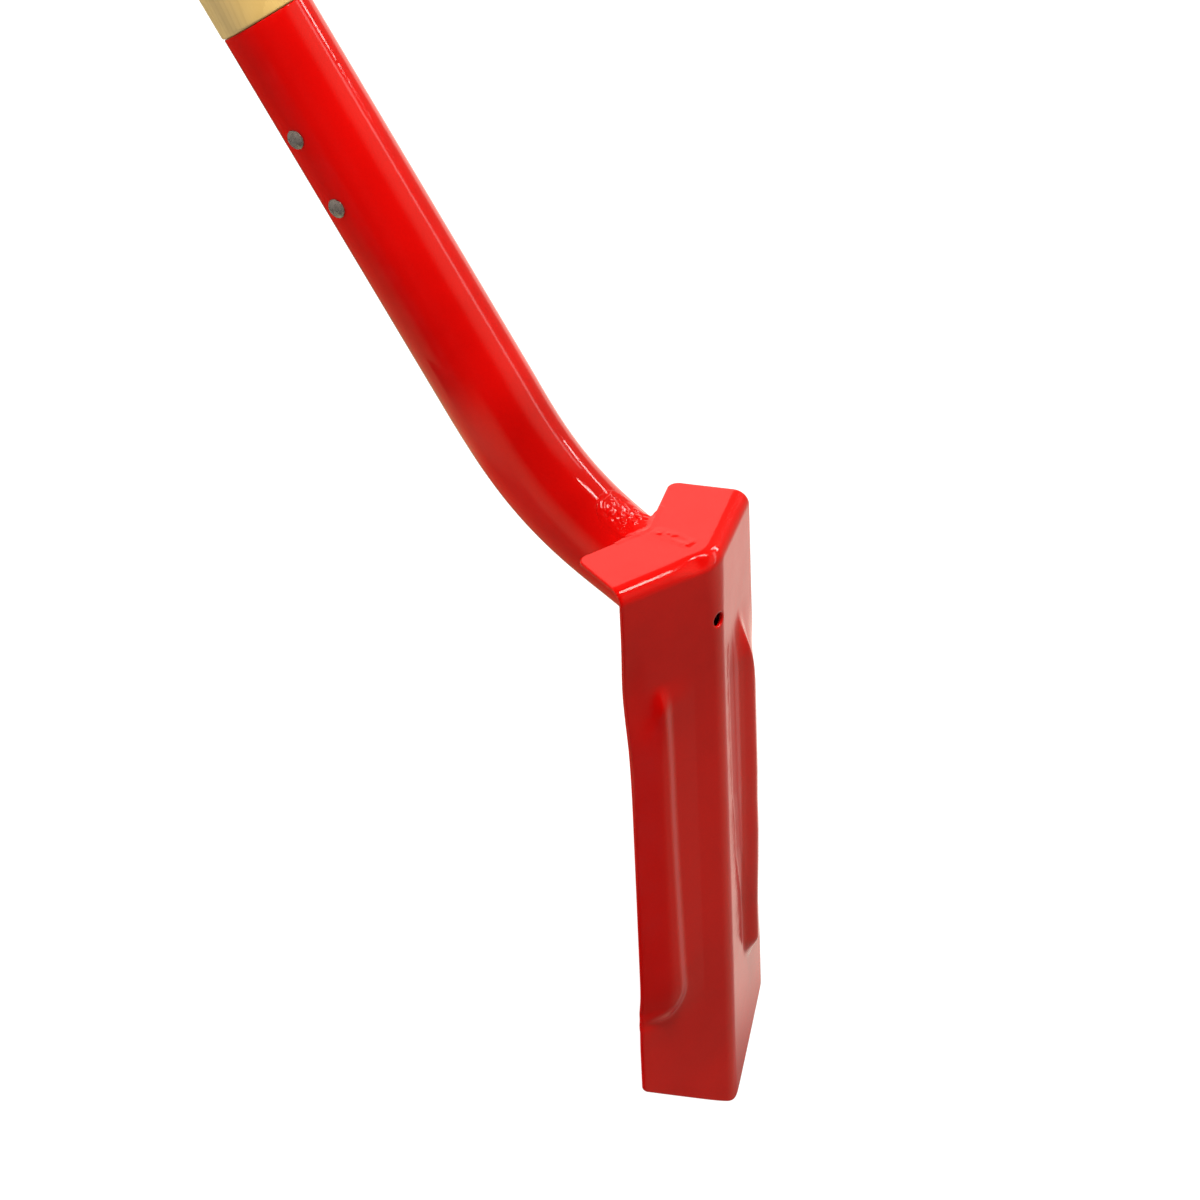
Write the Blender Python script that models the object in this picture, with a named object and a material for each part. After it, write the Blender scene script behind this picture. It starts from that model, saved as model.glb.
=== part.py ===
"""Trenching shovel: a V-section steel blade with two turned steps, a bent steel
socket tube welded behind it, and a straight ash handle held by two rivets.

The pieces are modelled in the blade's own frame, in millimetres turned into
metres by MM, and are parented to the empty "shovel", which lays the tool down
the way it rests on a floor: ridge up, on the two outer corners of the cutting
edge and on the butt of the handle.

Blade frame: origin at the sharp corner where the ridge meets the step plane,
x across the blade (to the right, seen from the ridge side), y back from the
ridge towards the hollow side, z up along the ridge towards the handle.
"""

import math

import bmesh
import bpy
from mathutils import Matrix, Vector

MM = 0.001
GAP = 0.3                       # left between two pieces that touch

# ---- blade ---------------------------------------------------------------
SHEET = 2.0                     # 14 gauge sheet
V_HALF_ANGLE = math.radians(70.0)
FACE_TOP = 50.7                 # width of one face at the steps
FACE_TIP = 49.7                 # width of one face at the cutting edge
RIDGE_LENGTH = 302.7            # step plane to the point of the cutting edge
CORNER_RAISE = 32.3             # outer corners sit this much above the point
POINT_SOFTNESS = 4.0            # rounding of the point
RIDGE_RADIUS = 13.0             # outside radius of the V
FOLD_RADIUS = 6.0               # outside radius of the turned steps
STEP_DEPTH = 34.4               # outside of a face to the back edge of its step
STEP_CORNER = 5.0               # rounding of the steps' back corners
TIP_CORNER = 2.0                # rounding of the cutting edge's outer corners
HOLE_DIAMETER = 6.5
HOLE_DROP = 34.2                # hole centre below the step plane

# ---- pressed stiffening beads, one along the outer half of each face ---------
BEAD_HEIGHT = 3.7               # crest above the face
BEAD_MIDDLE = 29.7              # middle of its ridge-side slope, across the face
BEAD_LEAN = 2.5                 # that slope runs in towards the ridge by this
BEAD_SLOPE = 11.5               # width of the slope
BEAD_FALL = 0.30                # fall from the crest to the outer edge
BEAD_TOP = -50.0
BEAD_BOTTOM = -234.5
BEAD_CORNER = 13.0              # radius of the bead's lower end

# ---- socket tube -----------------------------------------------------------
TUBE_OD = 41.28                 # 1 5/8 in
TUBE_WALL = 1.6
NECK_OD = 38.68                 # the bend is drawn in a little at the blade
SOCKET_ANGLE = math.radians(35.88)   # socket axis to the ridge
NECK_ANGLE = math.radians(66.1)      # neck axis to the ridge where it meets the V
AXIS_Y = 90.2                   # socket axis crosses the step plane here
BEND_START = 47.6               # above that crossing, along the axis
BEND_LENGTH = 94.4              # length of the bent stretch
RIM = 238.3                     # open end of the socket, along the axis

# ---- handle ------------------------------------------------------------------
HANDLE_SHOULDER_D = 42.3
HANDLE_GRIP_D = 36.0
HANDLE_LENGTH = 1219.0          # 48 in, tenon included
TENON_LENGTH = 122.0
BUTT_FLAT_D = 20.0

# ---- rivets --------------------------------------------------------------------
RIVET_UPPER = 187.3             # along the socket axis
RIVET_LOWER = 153.3
RIVET_ROLL = math.radians(3.0)
RIVET_SHANK_D = 4.8
RIVET_HOLE_D = 5.4
RIVET_HEAD_D = 9.0
RIVET_HEAD_H = 2.3

ROUND = 32                      # sides of the round pieces

SA, CA = math.sin(V_HALF_ANGLE), math.cos(V_HALF_ANGLE)


# ---------------------------------------------------------------- helpers
def clear_scene():
    for obj in list(bpy.data.objects):
        bpy.data.objects.remove(obj, do_unlink=True)


def material(name, color, roughness, metallic=0.0):
    mat = bpy.data.materials.new(name)
    mat.use_nodes = True
    shader = mat.node_tree.nodes["Principled BSDF"]
    shader.inputs["Base Color"].default_value = (*color, 1.0)
    shader.inputs["Roughness"].default_value = roughness
    shader.inputs["Metallic"].default_value = metallic
    mat.diffuse_color = (*color, 1.0)
    return mat


def smooth(x):
    x = min(max(x, 0.0), 1.0)
    return x * x * (3.0 - 2.0 * x)


def finish(bm, name, mat, parent, sharp=40.0):
    """Closes a bmesh into a named object that hangs on the parent."""
    bmesh.ops.remove_doubles(bm, verts=bm.verts, dist=1e-7)
    bmesh.ops.recalc_face_normals(bm, faces=bm.faces)
    mesh = bpy.data.meshes.new(name)
    bm.to_mesh(mesh)
    bm.free()
    mesh.shade_smooth()
    mesh.set_sharp_from_angle(angle=math.radians(sharp))
    mesh.materials.append(mat)
    obj = bpy.data.objects.new(name, mesh)
    bpy.context.scene.collection.objects.link(obj)
    obj.parent = parent
    return obj


def skin_rings(bm, rings, closed_ring=True, close_ends=False):
    """Quads between each ring of points and the next."""
    rows = [[bm.verts.new(Vector(p) * MM) for p in ring] for ring in rings]
    count = len(rows[0])
    last = count if closed_ring else count - 1
    pairs = list(zip(rows, rows[1:]))
    if close_ends:
        pairs.append((rows[-1], rows[0]))
    for a, b in pairs:
        for i in range(last):
            j = (i + 1) % count
            bm.faces.new((a[i], a[j], b[j], b[i]))
    return rows


def cutter(name, radius, depth, matrix, parent):
    bm = bmesh.new()
    bmesh.ops.create_cone(bm, cap_ends=True, segments=24, radius1=radius * MM,
                          radius2=radius * MM, depth=depth * MM)
    mesh = bpy.data.meshes.new(name)
    bm.to_mesh(mesh)
    bm.free()
    obj = bpy.data.objects.new(name, mesh)
    bpy.context.scene.collection.objects.link(obj)
    obj.parent = parent
    obj.matrix_local = matrix
    obj.hide_render = True
    obj.display_type = "WIRE"
    return obj


def cut(obj, tool, name):
    mod = obj.modifiers.new(name, "BOOLEAN")
    mod.operation = "DIFFERENCE"
    mod.solver = "EXACT"
    mod.object = tool


# ------------------------------------------------------- blade: section of the V
def section(offset, f, length):
    """Point on the right half of the V, pushed back from the outside by offset.

    f runs from 0 on the ridge to 1 at the outer end. The ridge is an arc
    until the offset has used up its radius; behind that it is a mitre.
    """
    radius = max(RIDGE_RADIUS - offset, 0.0)
    arc = radius * (math.pi / 2 - V_HALF_ANGLE)
    start = max(RIDGE_RADIUS, offset) * CA / SA
    straight = length - start
    s = f * (arc + straight)
    if s < arc:
        turn = s / radius
        return (radius * math.sin(turn),
                RIDGE_RADIUS / SA - radius * math.cos(turn))
    along = start + s - arc
    return (along * SA - offset * CA, along * CA + offset * SA)


def inner_v(x, offset):
    """y of the V's surface at x, pushed back by offset (for the coped tube)."""
    x = abs(x)
    radius = RIDGE_RADIUS - offset
    if x < radius * CA:
        return RIDGE_RADIUS / SA - math.sqrt(radius * radius - x * x)
    return x * CA / SA + offset / SA


def bead(u, z, side):
    """How far the pressed bead stands out of the face at u across, z along."""
    middle = BEAD_MIDDLE - BEAD_LEAN * min(max((-z - 60.0) / 158.0, 0.0), 1.1)
    du, dz = u - middle, z - BEAD_BOTTOM
    inside = min(du, dz)
    if du < BEAD_CORNER and dz < BEAD_CORNER:
        inside = BEAD_CORNER - math.hypot(BEAD_CORNER - du, BEAD_CORNER - dz)
    across = smooth(inside / BEAD_SLOPE + 0.5)
    past = max(du - BEAD_SLOPE / 2, 0.0)
    fall = BEAD_FALL * (math.hypot(past, 4.0) - 4.0)
    # the upper end is blunt on the left face and drawn out on the right
    spread = 14.0 if side < 0 else 10.0 + 30.0 * smooth((u - 25.0) / 11.0)
    above = smooth((BEAD_TOP - z) / spread)
    return max(BEAD_HEIGHT - fall, 0.0) * across * above


def make_blade(mat, parent):
    """The outside of the sheet as a grid; a Solidify gives it its gauge."""
    columns = [0.0, 0.035, 0.07, 0.105, 0.27, 0.43, 0.49, 0.54, 0.59, 0.64,
               0.69, 0.74, 0.80, 0.87, 0.94, 1.0]
    fractions = [-f for f in reversed(columns[1:])] + columns

    rows = []
    # the two faces, from the cutting edge up to the start of the fold
    stations = [0.0, 0.7, 1.4, 2.0, 12.0, 26.0, 34.0, 40.0, 46.0, 52.0, 58.0,
                64.0, 72.0, 90.0, 125.0, 160.0, 188.0, 202.0, 212.0, 220.0,
                227.0, 233.0, 239.0, 245.0, 252.0, 262.5, 272.5, 285.0]
    top = -FOLD_RADIUS
    height = RIDGE_LENGTH - FOLD_RADIUS
    for station in stations:
        v = station / height
        rows.append(("face", v))
    rows.append(("face", 1.0))
    for step in range(1, 6):
        rows.append(("fold", math.pi / 2 * step / 5))
    depth = STEP_DEPTH
    for d in (12.0, 20.0, depth - STEP_CORNER, depth - 0.55 * STEP_CORNER,
              depth - 0.22 * STEP_CORNER, depth - 0.05 * STEP_CORNER, depth):
        rows.append(("step", d))

    grid = []
    for kind, value in rows:
        line = []
        for f in fractions:
            side = -1.0 if f < 0 else 1.0
            f = abs(f)
            if kind == "face":
                up = value * height
                length = FACE_TIP + (FACE_TOP - FACE_TIP) * value
                if up < TIP_CORNER:
                    length -= TIP_CORNER - math.sqrt(
                        TIP_CORNER ** 2 - (TIP_CORNER - up) ** 2)
                x, y = section(0.0, f, length)
                u = min(x / SA, length)
                low = -RIDGE_LENGTH + CORNER_RAISE * (
                    math.hypot(u, POINT_SOFTNESS) - POINT_SOFTNESS) / FACE_TIP
                z = low + (top - low) * value
                raised = bead(u, z, side)
                if raised > 0.0:
                    x, y = x + raised * CA, y - raised * SA
            elif kind == "fold":
                offset = FOLD_RADIUS * (1.0 - math.cos(value))
                x, y = section(offset, f, FACE_TOP)
                z = FOLD_RADIUS * (math.sin(value) - 1.0)
            else:
                past = max(0.0, value - (STEP_DEPTH - STEP_CORNER))
                length = FACE_TOP - (
                    STEP_CORNER - math.sqrt(STEP_CORNER ** 2 - past ** 2))
                x, y = section(value, f, length)
                z = 0.0
            line.append((side * x, y, z))
        grid.append(line)

    bm = bmesh.new()
    skin_rings(bm, grid, closed_ring=False)
    bmesh.ops.recalc_face_normals(bm, faces=bm.faces)
    for face in bm.faces:                      # outside = away from the hollow
        if abs(face.normal.z) > 0.9:
            if face.normal.z < 0.0:
                bmesh.ops.reverse_faces(bm, faces=bm.faces)
            break
    mesh = bpy.data.meshes.new("blade")
    bm.to_mesh(mesh)
    bm.free()
    mesh.shade_smooth()
    mesh.materials.append(mat)
    blade = bpy.data.objects.new("blade", mesh)
    bpy.context.scene.collection.objects.link(blade)
    blade.parent = parent

    gauge = blade.modifiers.new("gauge", "SOLIDIFY")
    gauge.thickness = SHEET * MM
    gauge.offset = -1.0
    gauge.use_even_offset = True

    hole = cutter("blade_hole_cutter", HOLE_DIAMETER / 2, 16.0,
                  Matrix.Translation(Vector((0.0, 1.0, -HOLE_DROP)) * MM)
                  @ Matrix.Rotation(math.pi / 2, 4, "X"), parent)
    cut(blade, hole, "hang_hole")
    return blade


# ------------------------------------------------------------- tube and handle
def socket_point(t):
    return Vector((0.0, AXIS_Y + math.sin(SOCKET_ANGLE) * t,
                   math.cos(SOCKET_ANGLE) * t))


def axis_stations(bend_steps):
    """(centre, angle to the ridge, outside radius) down the tube."""
    out = [(socket_point(t), SOCKET_ANGLE, TUBE_OD / 2)
           for t in (RIM, RIVET_UPPER + 12, RIVET_LOWER - 12, BEND_START + 30)]
    point = socket_point(BEND_START)
    fine = 12
    step = BEND_LENGTH / (bend_steps * fine)
    out.append((point.copy(), SOCKET_ANGLE, TUBE_OD / 2))
    for i in range(bend_steps * fine):
        middle = (i + 0.5) / (bend_steps * fine)
        angle = SOCKET_ANGLE + (NECK_ANGLE - SOCKET_ANGLE) * smooth(middle)
        point -= Vector((0.0, math.sin(angle), math.cos(angle))) * step
        if (i + 1) % fine == 0:
            done = (i + 1) / (bend_steps * fine)
            angle = SOCKET_ANGLE + (NECK_ANGLE - SOCKET_ANGLE) * smooth(done)
            out.append((point.copy(), angle,
                        (TUBE_OD + (NECK_OD - TUBE_OD) * done) / 2))
    return out


def around(angle, theta):
    """Unit vector square to an axis at that angle, theta round from its top."""
    up = Vector((0.0, -math.cos(angle), math.sin(angle)))
    return Vector((1.0, 0.0, 0.0)) * math.sin(theta) + up * math.cos(theta)


def ring(centre, angle, radius, count=ROUND):
    return [centre + around(angle, 2 * math.pi * i / count) * radius
            for i in range(count)]


NECK_END = axis_stations(16)[-1]


def on_neck(theta, radius, back, offset):
    """Point on the straight end of the neck, back along it from the V."""
    centre, angle, _ = NECK_END
    start = centre + around(angle, theta) * radius
    run = (start.y - inner_v(start.x, offset)) / math.sin(angle) - back
    return start - Vector((0.0, math.sin(angle), math.cos(angle))) * run


def neck_ring(radius, back, offset, count=ROUND):
    return [on_neck(2 * math.pi * i / count, radius, back, offset)
            for i in range(count)]


def make_tube(mat, parent, tools):
    stations = axis_stations(16)
    outer = [ring(c, a, r) for c, a, r in stations]
    inner = [ring(c, a, r - TUBE_WALL) for c, a, r in stations]
    end = NECK_END[2]
    offset = SHEET + GAP
    outer.append(neck_ring(end, 0.0, offset))
    inner.append(neck_ring(end - TUBE_WALL, 0.0, offset))
    bm = bmesh.new()
    skin_rings(bm, outer + inner[::-1], close_ends=True)
    tube = finish(bm, "socket_tube", mat, parent)
    for tool in tools:
        cut(tube, tool, tool.name)
    return tube


def lathe(bm, centre, angle, profile, count=ROUND):
    """Turned solid on an axis at that angle: profile of (along, radius)."""
    along = Vector((0.0, math.sin(angle), math.cos(angle)))
    rows = skin_rings(bm, [ring(centre + along * t, angle, r, count)
                           for t, r in profile])
    bm.faces.new(rows[0])
    bm.faces.new(rows[-1])


def make_handle(mat, parent, tools):
    bore = TUBE_OD / 2 - TUBE_WALL
    tenon = bore - GAP
    shoulder = HANDLE_SHOULDER_D / 2
    grip = HANDLE_GRIP_D / 2
    foot = RIM - TENON_LENGTH
    end = foot + HANDLE_LENGTH
    profile = [(foot, tenon - 3.0), (foot + 3.0, tenon), (RIM + GAP, tenon),
               (RIM + GAP, shoulder - 1.2), (RIM + GAP + 0.6, shoulder - 0.35),
               (RIM + GAP + 2.0, shoulder)]
    for share in (0.15, 0.3, 0.5, 0.7, 0.85, 1.0):      # long taper to the grip
        profile.append((RIM + 30.0 + 330.0 * share,
                        shoulder + (grip - shoulder) * smooth(share)))
    profile += [(end - 190.0, grip), (end - 60.0, grip + 0.5)]
    dome = grip + 0.5
    for step in range(1, 6):                            # rounded butt
        turn = math.radians(90 - 15.0 * step)
        flat = BUTT_FLAT_D / 2
        profile.append((end - 7.0 * (1 - math.cos(turn)),
                        flat + (dome - flat) * math.sin(turn)))
    profile = [p for p in profile[:-5]] + sorted(profile[-5:])
    profile.append((end, BUTT_FLAT_D / 2))
    bm = bmesh.new()
    lathe(bm, Vector((0.0, AXIS_Y, 0.0)), SOCKET_ANGLE, profile)
    handle = finish(bm, "handle", mat, parent)
    for tool in tools:
        cut(handle, tool, tool.name)
    return handle


# ---------------------------------------------------------------------- rivets
def rivet_matrix(t):
    """Local X along the rivet, local Z up the socket axis."""
    along = Vector((0.0, math.sin(SOCKET_ANGLE), math.cos(SOCKET_ANGLE)))
    pin = around(SOCKET_ANGLE, math.pi / 2 - RIVET_ROLL)
    side = along.cross(pin)
    frame = Matrix((pin, side, along)).transposed().to_4x4()
    frame.translation = socket_point(t) * MM
    return frame


def make_rivet(name, t, mat, parent):
    """A pin with a dome on both ends; the undersides follow the tube."""
    seat = TUBE_OD / 2 + GAP
    shank, head = RIVET_SHANK_D / 2, RIVET_HEAD_D / 2
    count = 24

    def saddle(radius, turn):
        return math.sqrt(seat * seat - (radius * math.cos(turn)) ** 2)

    half = []                            # rings from the pin out to the crown
    for r in (shank, (shank + head) / 2, head):
        half.append([(saddle(r, 2 * math.pi * i / count), r, i)
                     for i in range(count)])
    for tilt in (0, 18, 36, 54, 72):
        turn = math.radians(tilt)
        half.append([(seat + 0.25 + (RIVET_HEAD_H - 0.25) * math.sin(turn),
                      head * math.cos(turn), i) for i in range(count)])

    def place(entry, side):
        x, r, i = entry
        turn = 2 * math.pi * i / count
        return Vector((side * x, r * math.cos(turn), r * math.sin(turn)))

    bm = bmesh.new()
    rings = [[place(e, -1.0) for e in line] for line in reversed(half)]
    rings += [[place(e, 1.0) for e in line] for line in half]
    rows = skin_rings(bm, rings)
    for row, side in ((rows[0], -1.0), (rows[-1], 1.0)):
        crown = bm.verts.new(Vector((side * (seat + RIVET_HEAD_H), 0, 0)) * MM)
        for i in range(count):
            bm.faces.new((row[i], row[(i + 1) % count], crown))
    obj = finish(bm, name, mat, parent)
    obj.matrix_local = rivet_matrix(t)
    return obj


# ----------------------------------------------------------------------- welds
def make_neck_weld(mat, parent):
    """Fillet round the coped end of the neck, open under the steps."""
    offset = SHEET + GAP
    base = NECK_END[2] + GAP
    leg = 5.0
    steps = 26
    opening = math.radians(52.0)
    rings = []
    for i in range(steps + 1):
        theta = opening + (2 * math.pi - 2 * opening) * i / steps
        swell = min(1.0, math.sin(math.pi * i / steps) * 3.0 + 0.35)
        size = leg * swell * (1.0 + 0.06 * math.cos(i * 2.4))
        rings.append([
            on_neck(theta, base, 0.0, offset),
            on_neck(theta, base, size, offset),
            on_neck(theta, base + 0.34 * size, 0.78 * size, offset),
            on_neck(theta, base + 0.70 * size, 0.46 * size, offset),
            on_neck(theta, base + size, 0.0, offset),
        ])
    bm = bmesh.new()
    rows = skin_rings(bm, rings)
    bm.faces.new(rows[0])
    bm.faces.new(rows[-1])
    return finish(bm, "neck_weld", mat, parent)


def tube_top(x, y, radius_extra):
    """Height of the tube's upper surface above a point of the step plane."""
    best = None
    stations = axis_stations(48)
    for (c0, a0, r0), (c1, a1, r1) in zip(stations, stations[1:]):
        for k in range(6):
            s = k / 6
            c = c0.lerp(c1, s)
            a = a0 + (a1 - a0) * s
            r = r0 + (r1 - r0) * s + radius_extra
            if abs(x) >= r:
                continue
            rise = math.sqrt(r * r - x * x)
            p = c + Vector((0.0, -math.cos(a), math.sin(a))) * rise
            d = abs(p.y - y)
            if best is None or d < best[0]:
                best = (d, p.z, a, p.y)
    centre, angle, radius = NECK_END
    d, z, a, py = best
    if y < py:                                   # on the straight end of the neck
        return z + (y - py) / math.tan(angle)
    return z + (y - py) / math.tan(a)


def step_edge(x):
    """y of the back edge of the steps at x."""
    return abs(x) * CA / SA + STEP_DEPTH / SA


def make_step_weld(mat, parent):
    """Saddle of weld that fills the corner between tube and steps."""
    reach = 13.5
    columns = 18
    lines = []
    for i in range(columns + 1):
        x = -reach + 2 * reach * i / columns
        start = step_edge(x) + GAP
        spread = 7.0 + 15.0 * math.cos(x / reach * math.pi / 2) ** 0.8
        under, over = [], []
        for k in range(6):
            s = k / 5
            y = start + spread * s
            floor = tube_top(x, y, GAP)
            lift = 0.35 + 1.2 * math.sin(math.pi * s) ** 2
            if s == 0.0:
                top = max(0.45, floor + 0.5)
            else:
                bridge = 0.45 * (1 - s) ** 2 + (floor + lift) * (1 - (1 - s) ** 2)
                top = max(floor + 0.35, bridge)
            under.append(Vector((x, y, floor)))
            over.append(Vector((x, y, top)))
        lines.append(under + over[::-1])
    bm = bmesh.new()
    rows = skin_rings(bm, lines)
    bm.faces.new(rows[0])
    bm.faces.new(rows[-1])
    return finish(bm, "step_weld", mat, parent)


def make_seam_weld(mat, parent):
    """Low bead over the mitre where the two steps meet."""
    start, end = FOLD_RADIUS + 1.5, STEP_DEPTH / SA - 1.5
    steps = 14
    rings = []
    for i in range(steps + 1):
        s = i / steps
        y = start + (end - start) * s
        taper = math.sqrt(max(0.0, 1.0 - (2 * s - 1) ** 2)) * 0.9 + 0.1
        half = 3.4 * taper
        high = 0.75 * taper * (1.0 + 0.15 * math.cos(i * 2.1))
        line = [(-half, y, GAP)]
        for k in range(1, 6):
            turn = math.pi * k / 6
            line.append((-half * math.cos(turn), y, GAP + high * math.sin(turn)))
        line.append((half, y, GAP))
        rings.append(line)
    bm = bmesh.new()
    rows = skin_rings(bm, rings)
    bm.faces.new(rows[0])
    bm.faces.new(rows[-1])
    return finish(bm, "seam_weld", mat, parent)


# ------------------------------------------------------------------------ pose
def lay_down(shovel, objects):
    """Turns the tool until the blade's outer corners and the butt share a floor,
    then puts the floor at z = 0 and the middle of the footprint at x = y = 0."""
    bpy.context.view_layer.update()
    graph = bpy.context.evaluated_depsgraph_get()
    points = {}
    for obj in objects:
        mesh = obj.evaluated_get(graph).to_mesh()
        points[obj.name] = [obj.matrix_world @ v.co for v in mesh.vertices]
        obj.evaluated_get(graph).to_mesh_clear()

    def pose(tilt):
        up = Vector((0.0, -math.cos(tilt), math.sin(tilt)))
        out = Vector((0.0, math.sin(tilt), math.cos(tilt)))
        return Matrix((out, Vector((-1.0, 0.0, 0.0)), up))

    def lowest(name, turn):
        return min((turn @ p).z for p in points[name])

    low, high = math.radians(20.0), math.radians(40.0)
    for _ in range(60):
        middle = (low + high) / 2
        turn = pose(middle)
        # a larger tilt lowers the blade and lifts the butt
        if lowest("blade", turn) > lowest("handle", turn):
            low = middle
        else:
            high = middle
    turn = pose((low + high) / 2)
    every = [turn @ p for line in points.values() for p in line]
    corner_low = [min(p[k] for p in every) for k in range(3)]
    corner_high = [max(p[k] for p in every) for k in range(3)]
    frame = turn.to_4x4()
    frame.translation = Vector((-(corner_low[0] + corner_high[0]) / 2,
                                -(corner_low[1] + corner_high[1]) / 2,
                                -corner_low[2]))
    shovel.matrix_world = frame


def main():
    clear_scene()
    red = material("red_enamel", (0.60, 0.012, 0.012), 0.22)
    weld = material("red_enamel_weld", (0.62, 0.015, 0.015), 0.18)
    ash = material("ash_wood", (0.72, 0.53, 0.25), 0.5)
    steel = material("zinc_steel", (0.42, 0.40, 0.37), 0.38, 1.0)

    shovel = bpy.data.objects.new("shovel", None)
    bpy.context.scene.collection.objects.link(shovel)

    tools = []
    for label, t in (("upper", RIVET_UPPER), ("lower", RIVET_LOWER)):
        tools.append(cutter(f"rivet_hole_{label}", RIVET_HOLE_D / 2, 60.0,
                            rivet_matrix(t) @ Matrix.Rotation(math.pi / 2, 4, "Y"),
                            shovel))

    pieces = [
        make_blade(red, shovel),
        make_tube(red, shovel, tools),
        make_handle(ash, shovel, tools),
        make_rivet("rivet_upper", RIVET_UPPER, steel, shovel),
        make_rivet("rivet_lower", RIVET_LOWER, steel, shovel),
        make_neck_weld(weld, shovel),
        make_step_weld(weld, shovel),
        make_seam_weld(weld, shovel),
    ]
    lay_down(shovel, pieces)


main()
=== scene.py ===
import math

import bpy
import numpy as np
from mathutils import Matrix, Vector, noise


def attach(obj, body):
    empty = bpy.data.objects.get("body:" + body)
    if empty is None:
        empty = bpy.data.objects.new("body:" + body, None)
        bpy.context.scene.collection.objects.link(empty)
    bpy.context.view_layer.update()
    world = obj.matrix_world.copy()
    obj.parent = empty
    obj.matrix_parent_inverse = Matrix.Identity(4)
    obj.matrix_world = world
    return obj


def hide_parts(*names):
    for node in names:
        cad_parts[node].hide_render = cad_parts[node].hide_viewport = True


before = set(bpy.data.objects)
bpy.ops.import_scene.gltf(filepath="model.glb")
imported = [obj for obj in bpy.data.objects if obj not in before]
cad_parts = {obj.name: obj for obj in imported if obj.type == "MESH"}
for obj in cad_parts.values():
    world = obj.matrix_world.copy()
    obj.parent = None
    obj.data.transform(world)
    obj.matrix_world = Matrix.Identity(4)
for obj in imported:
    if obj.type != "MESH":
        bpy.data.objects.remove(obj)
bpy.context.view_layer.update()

# ---------------------------------------------------------------------------
# The tool is built in the blade's own frame, in millimetres: origin where the
# ridge meets the plane of the steps, x across, y back towards the hollow side,
# z up the ridge. row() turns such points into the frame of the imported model.
# ---------------------------------------------------------------------------
MM = 0.001
TILT = math.radians(32.76858390741141)
SHIFT = np.array((-0.5643085837364197, 0.0, 0.16622500121593475))
TO_ROW = np.array(((0.0, math.sin(TILT), math.cos(TILT)),
                   (-1.0, 0.0, 0.0),
                   (0.0, -math.cos(TILT), math.sin(TILT))))

SHEET = 2.0
V_HALF = math.radians(70.0)
SA, CA = math.sin(V_HALF), math.cos(V_HALF)
FACE_TOP, FACE_TIP = 50.7, 49.7
RIDGE_LENGTH = 302.7
CORNER_RAISE = 32.3
POINT_SOFTNESS = 4.0
RIDGE_RADIUS = 13.0
FOLD_RADIUS = 7.0
STEP_DEPTH = 34.4
STEP_CORNER = 5.0
TIP_CORNER = 2.4
HOLE_RADIUS = 3.25
HOLE_DROP = 34.2
EDGE = 0.75                     # painted rounding of the sheet's edges

TUBE_OD, TUBE_WALL, NECK_OD = 41.28, 1.6, 38.68
SOCKET_ANGLE = math.radians(35.88)
NECK_ANGLE = math.radians(66.1)
AXIS_Y = 90.2
BEND_START, BEND_LENGTH = 47.6, 94.4
RIM = 238.3

SHOULDER_D, GRIP_D = 42.3, 36.0
HANDLE_LENGTH, TENON_LENGTH = 1219.0, 122.0
BUTT_FLAT_D = 20.0

RIVETS = (("rivet_upper_head", "rivet_upper", 187.3),
          ("rivet_lower_head", "rivet_lower", 153.3))
RIVET_ROLL = math.radians(3.0)
SHANK_D, RIVET_HOLE_D, HEAD_D, HEAD_H = 4.8, 5.4, 9.0, 2.3


def row(points):
    return np.asarray(points, float) @ TO_ROW.T * MM + SHIFT


def smooth(x):
    x = np.clip(x, 0.0, 1.0)
    return x * x * (3.0 - 2.0 * x)


def rough(points, scale, seed=0.0, octaves=3):
    """Fractal noise about 0 at each point (mm), features about 1/scale mm."""
    out = np.empty(len(points))
    for i, p in enumerate(points):
        out[i] = noise.fractal(Vector((p[0] * scale + seed, p[1] * scale,
                                       p[2] * scale)), 1.0, 2.0, octaves)
    return out


# ------------------------------------------------------------------ meshes
def make(name, points, faces, mat, replaces=(), sharp=None,
         attributes=None):
    mesh = bpy.data.meshes.new(name)
    mesh.from_pydata([tuple(p) for p in row(points)], [],
                     [tuple(int(i) for i in f) for f in faces])
    mesh.validate()
    mesh.update()
    mesh.shade_smooth()
    if sharp:
        mesh.set_sharp_from_angle(angle=math.radians(sharp))
    for label, values in (attributes or {}).items():
        layer = mesh.attributes.new(label, "FLOAT", "POINT")
        layer.data.foreach_set("value", np.asarray(values, np.float32))
    mesh.materials.append(mat)
    obj = bpy.data.objects.new(name, mesh)
    bpy.context.scene.collection.objects.link(obj)
    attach(obj, "root")
    if replaces:
        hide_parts(*replaces)
    return obj


def normals_of(points, faces):
    """Unit normal of each point; faces are quads or triangles."""
    total = np.zeros_like(points)
    for size in (3, 4):
        group = np.array([f for f in faces if len(f) == size], int)
        if not len(group):
            continue
        a, b = points[group[:, 0]], points[group[:, 1]]
        c, d = points[group[:, 2]], points[group[:, size - 1]]
        n = np.cross(c - a, d - b) if size == 4 else np.cross(b - a, c - a)
        for k in range(size):
            np.add.at(total, group[:, k], n)
    return total / np.linalg.norm(total, axis=1)[:, None]


def loops_of(faces):
    """Rings of boundary points, each in the order that keeps the faces left."""
    half = {}
    for f in faces:
        for i, a in enumerate(f):
            half[(a, f[(i + 1) % len(f)])] = True
    after = {a: b for a, b in half if (b, a) not in half}
    rings = []
    while after:
        start = next(iter(after))
        ring, at = [], start
        while at in after:
            ring.append(at)
            at = after.pop(at)
        rings.append(ring)
    return rings


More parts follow.
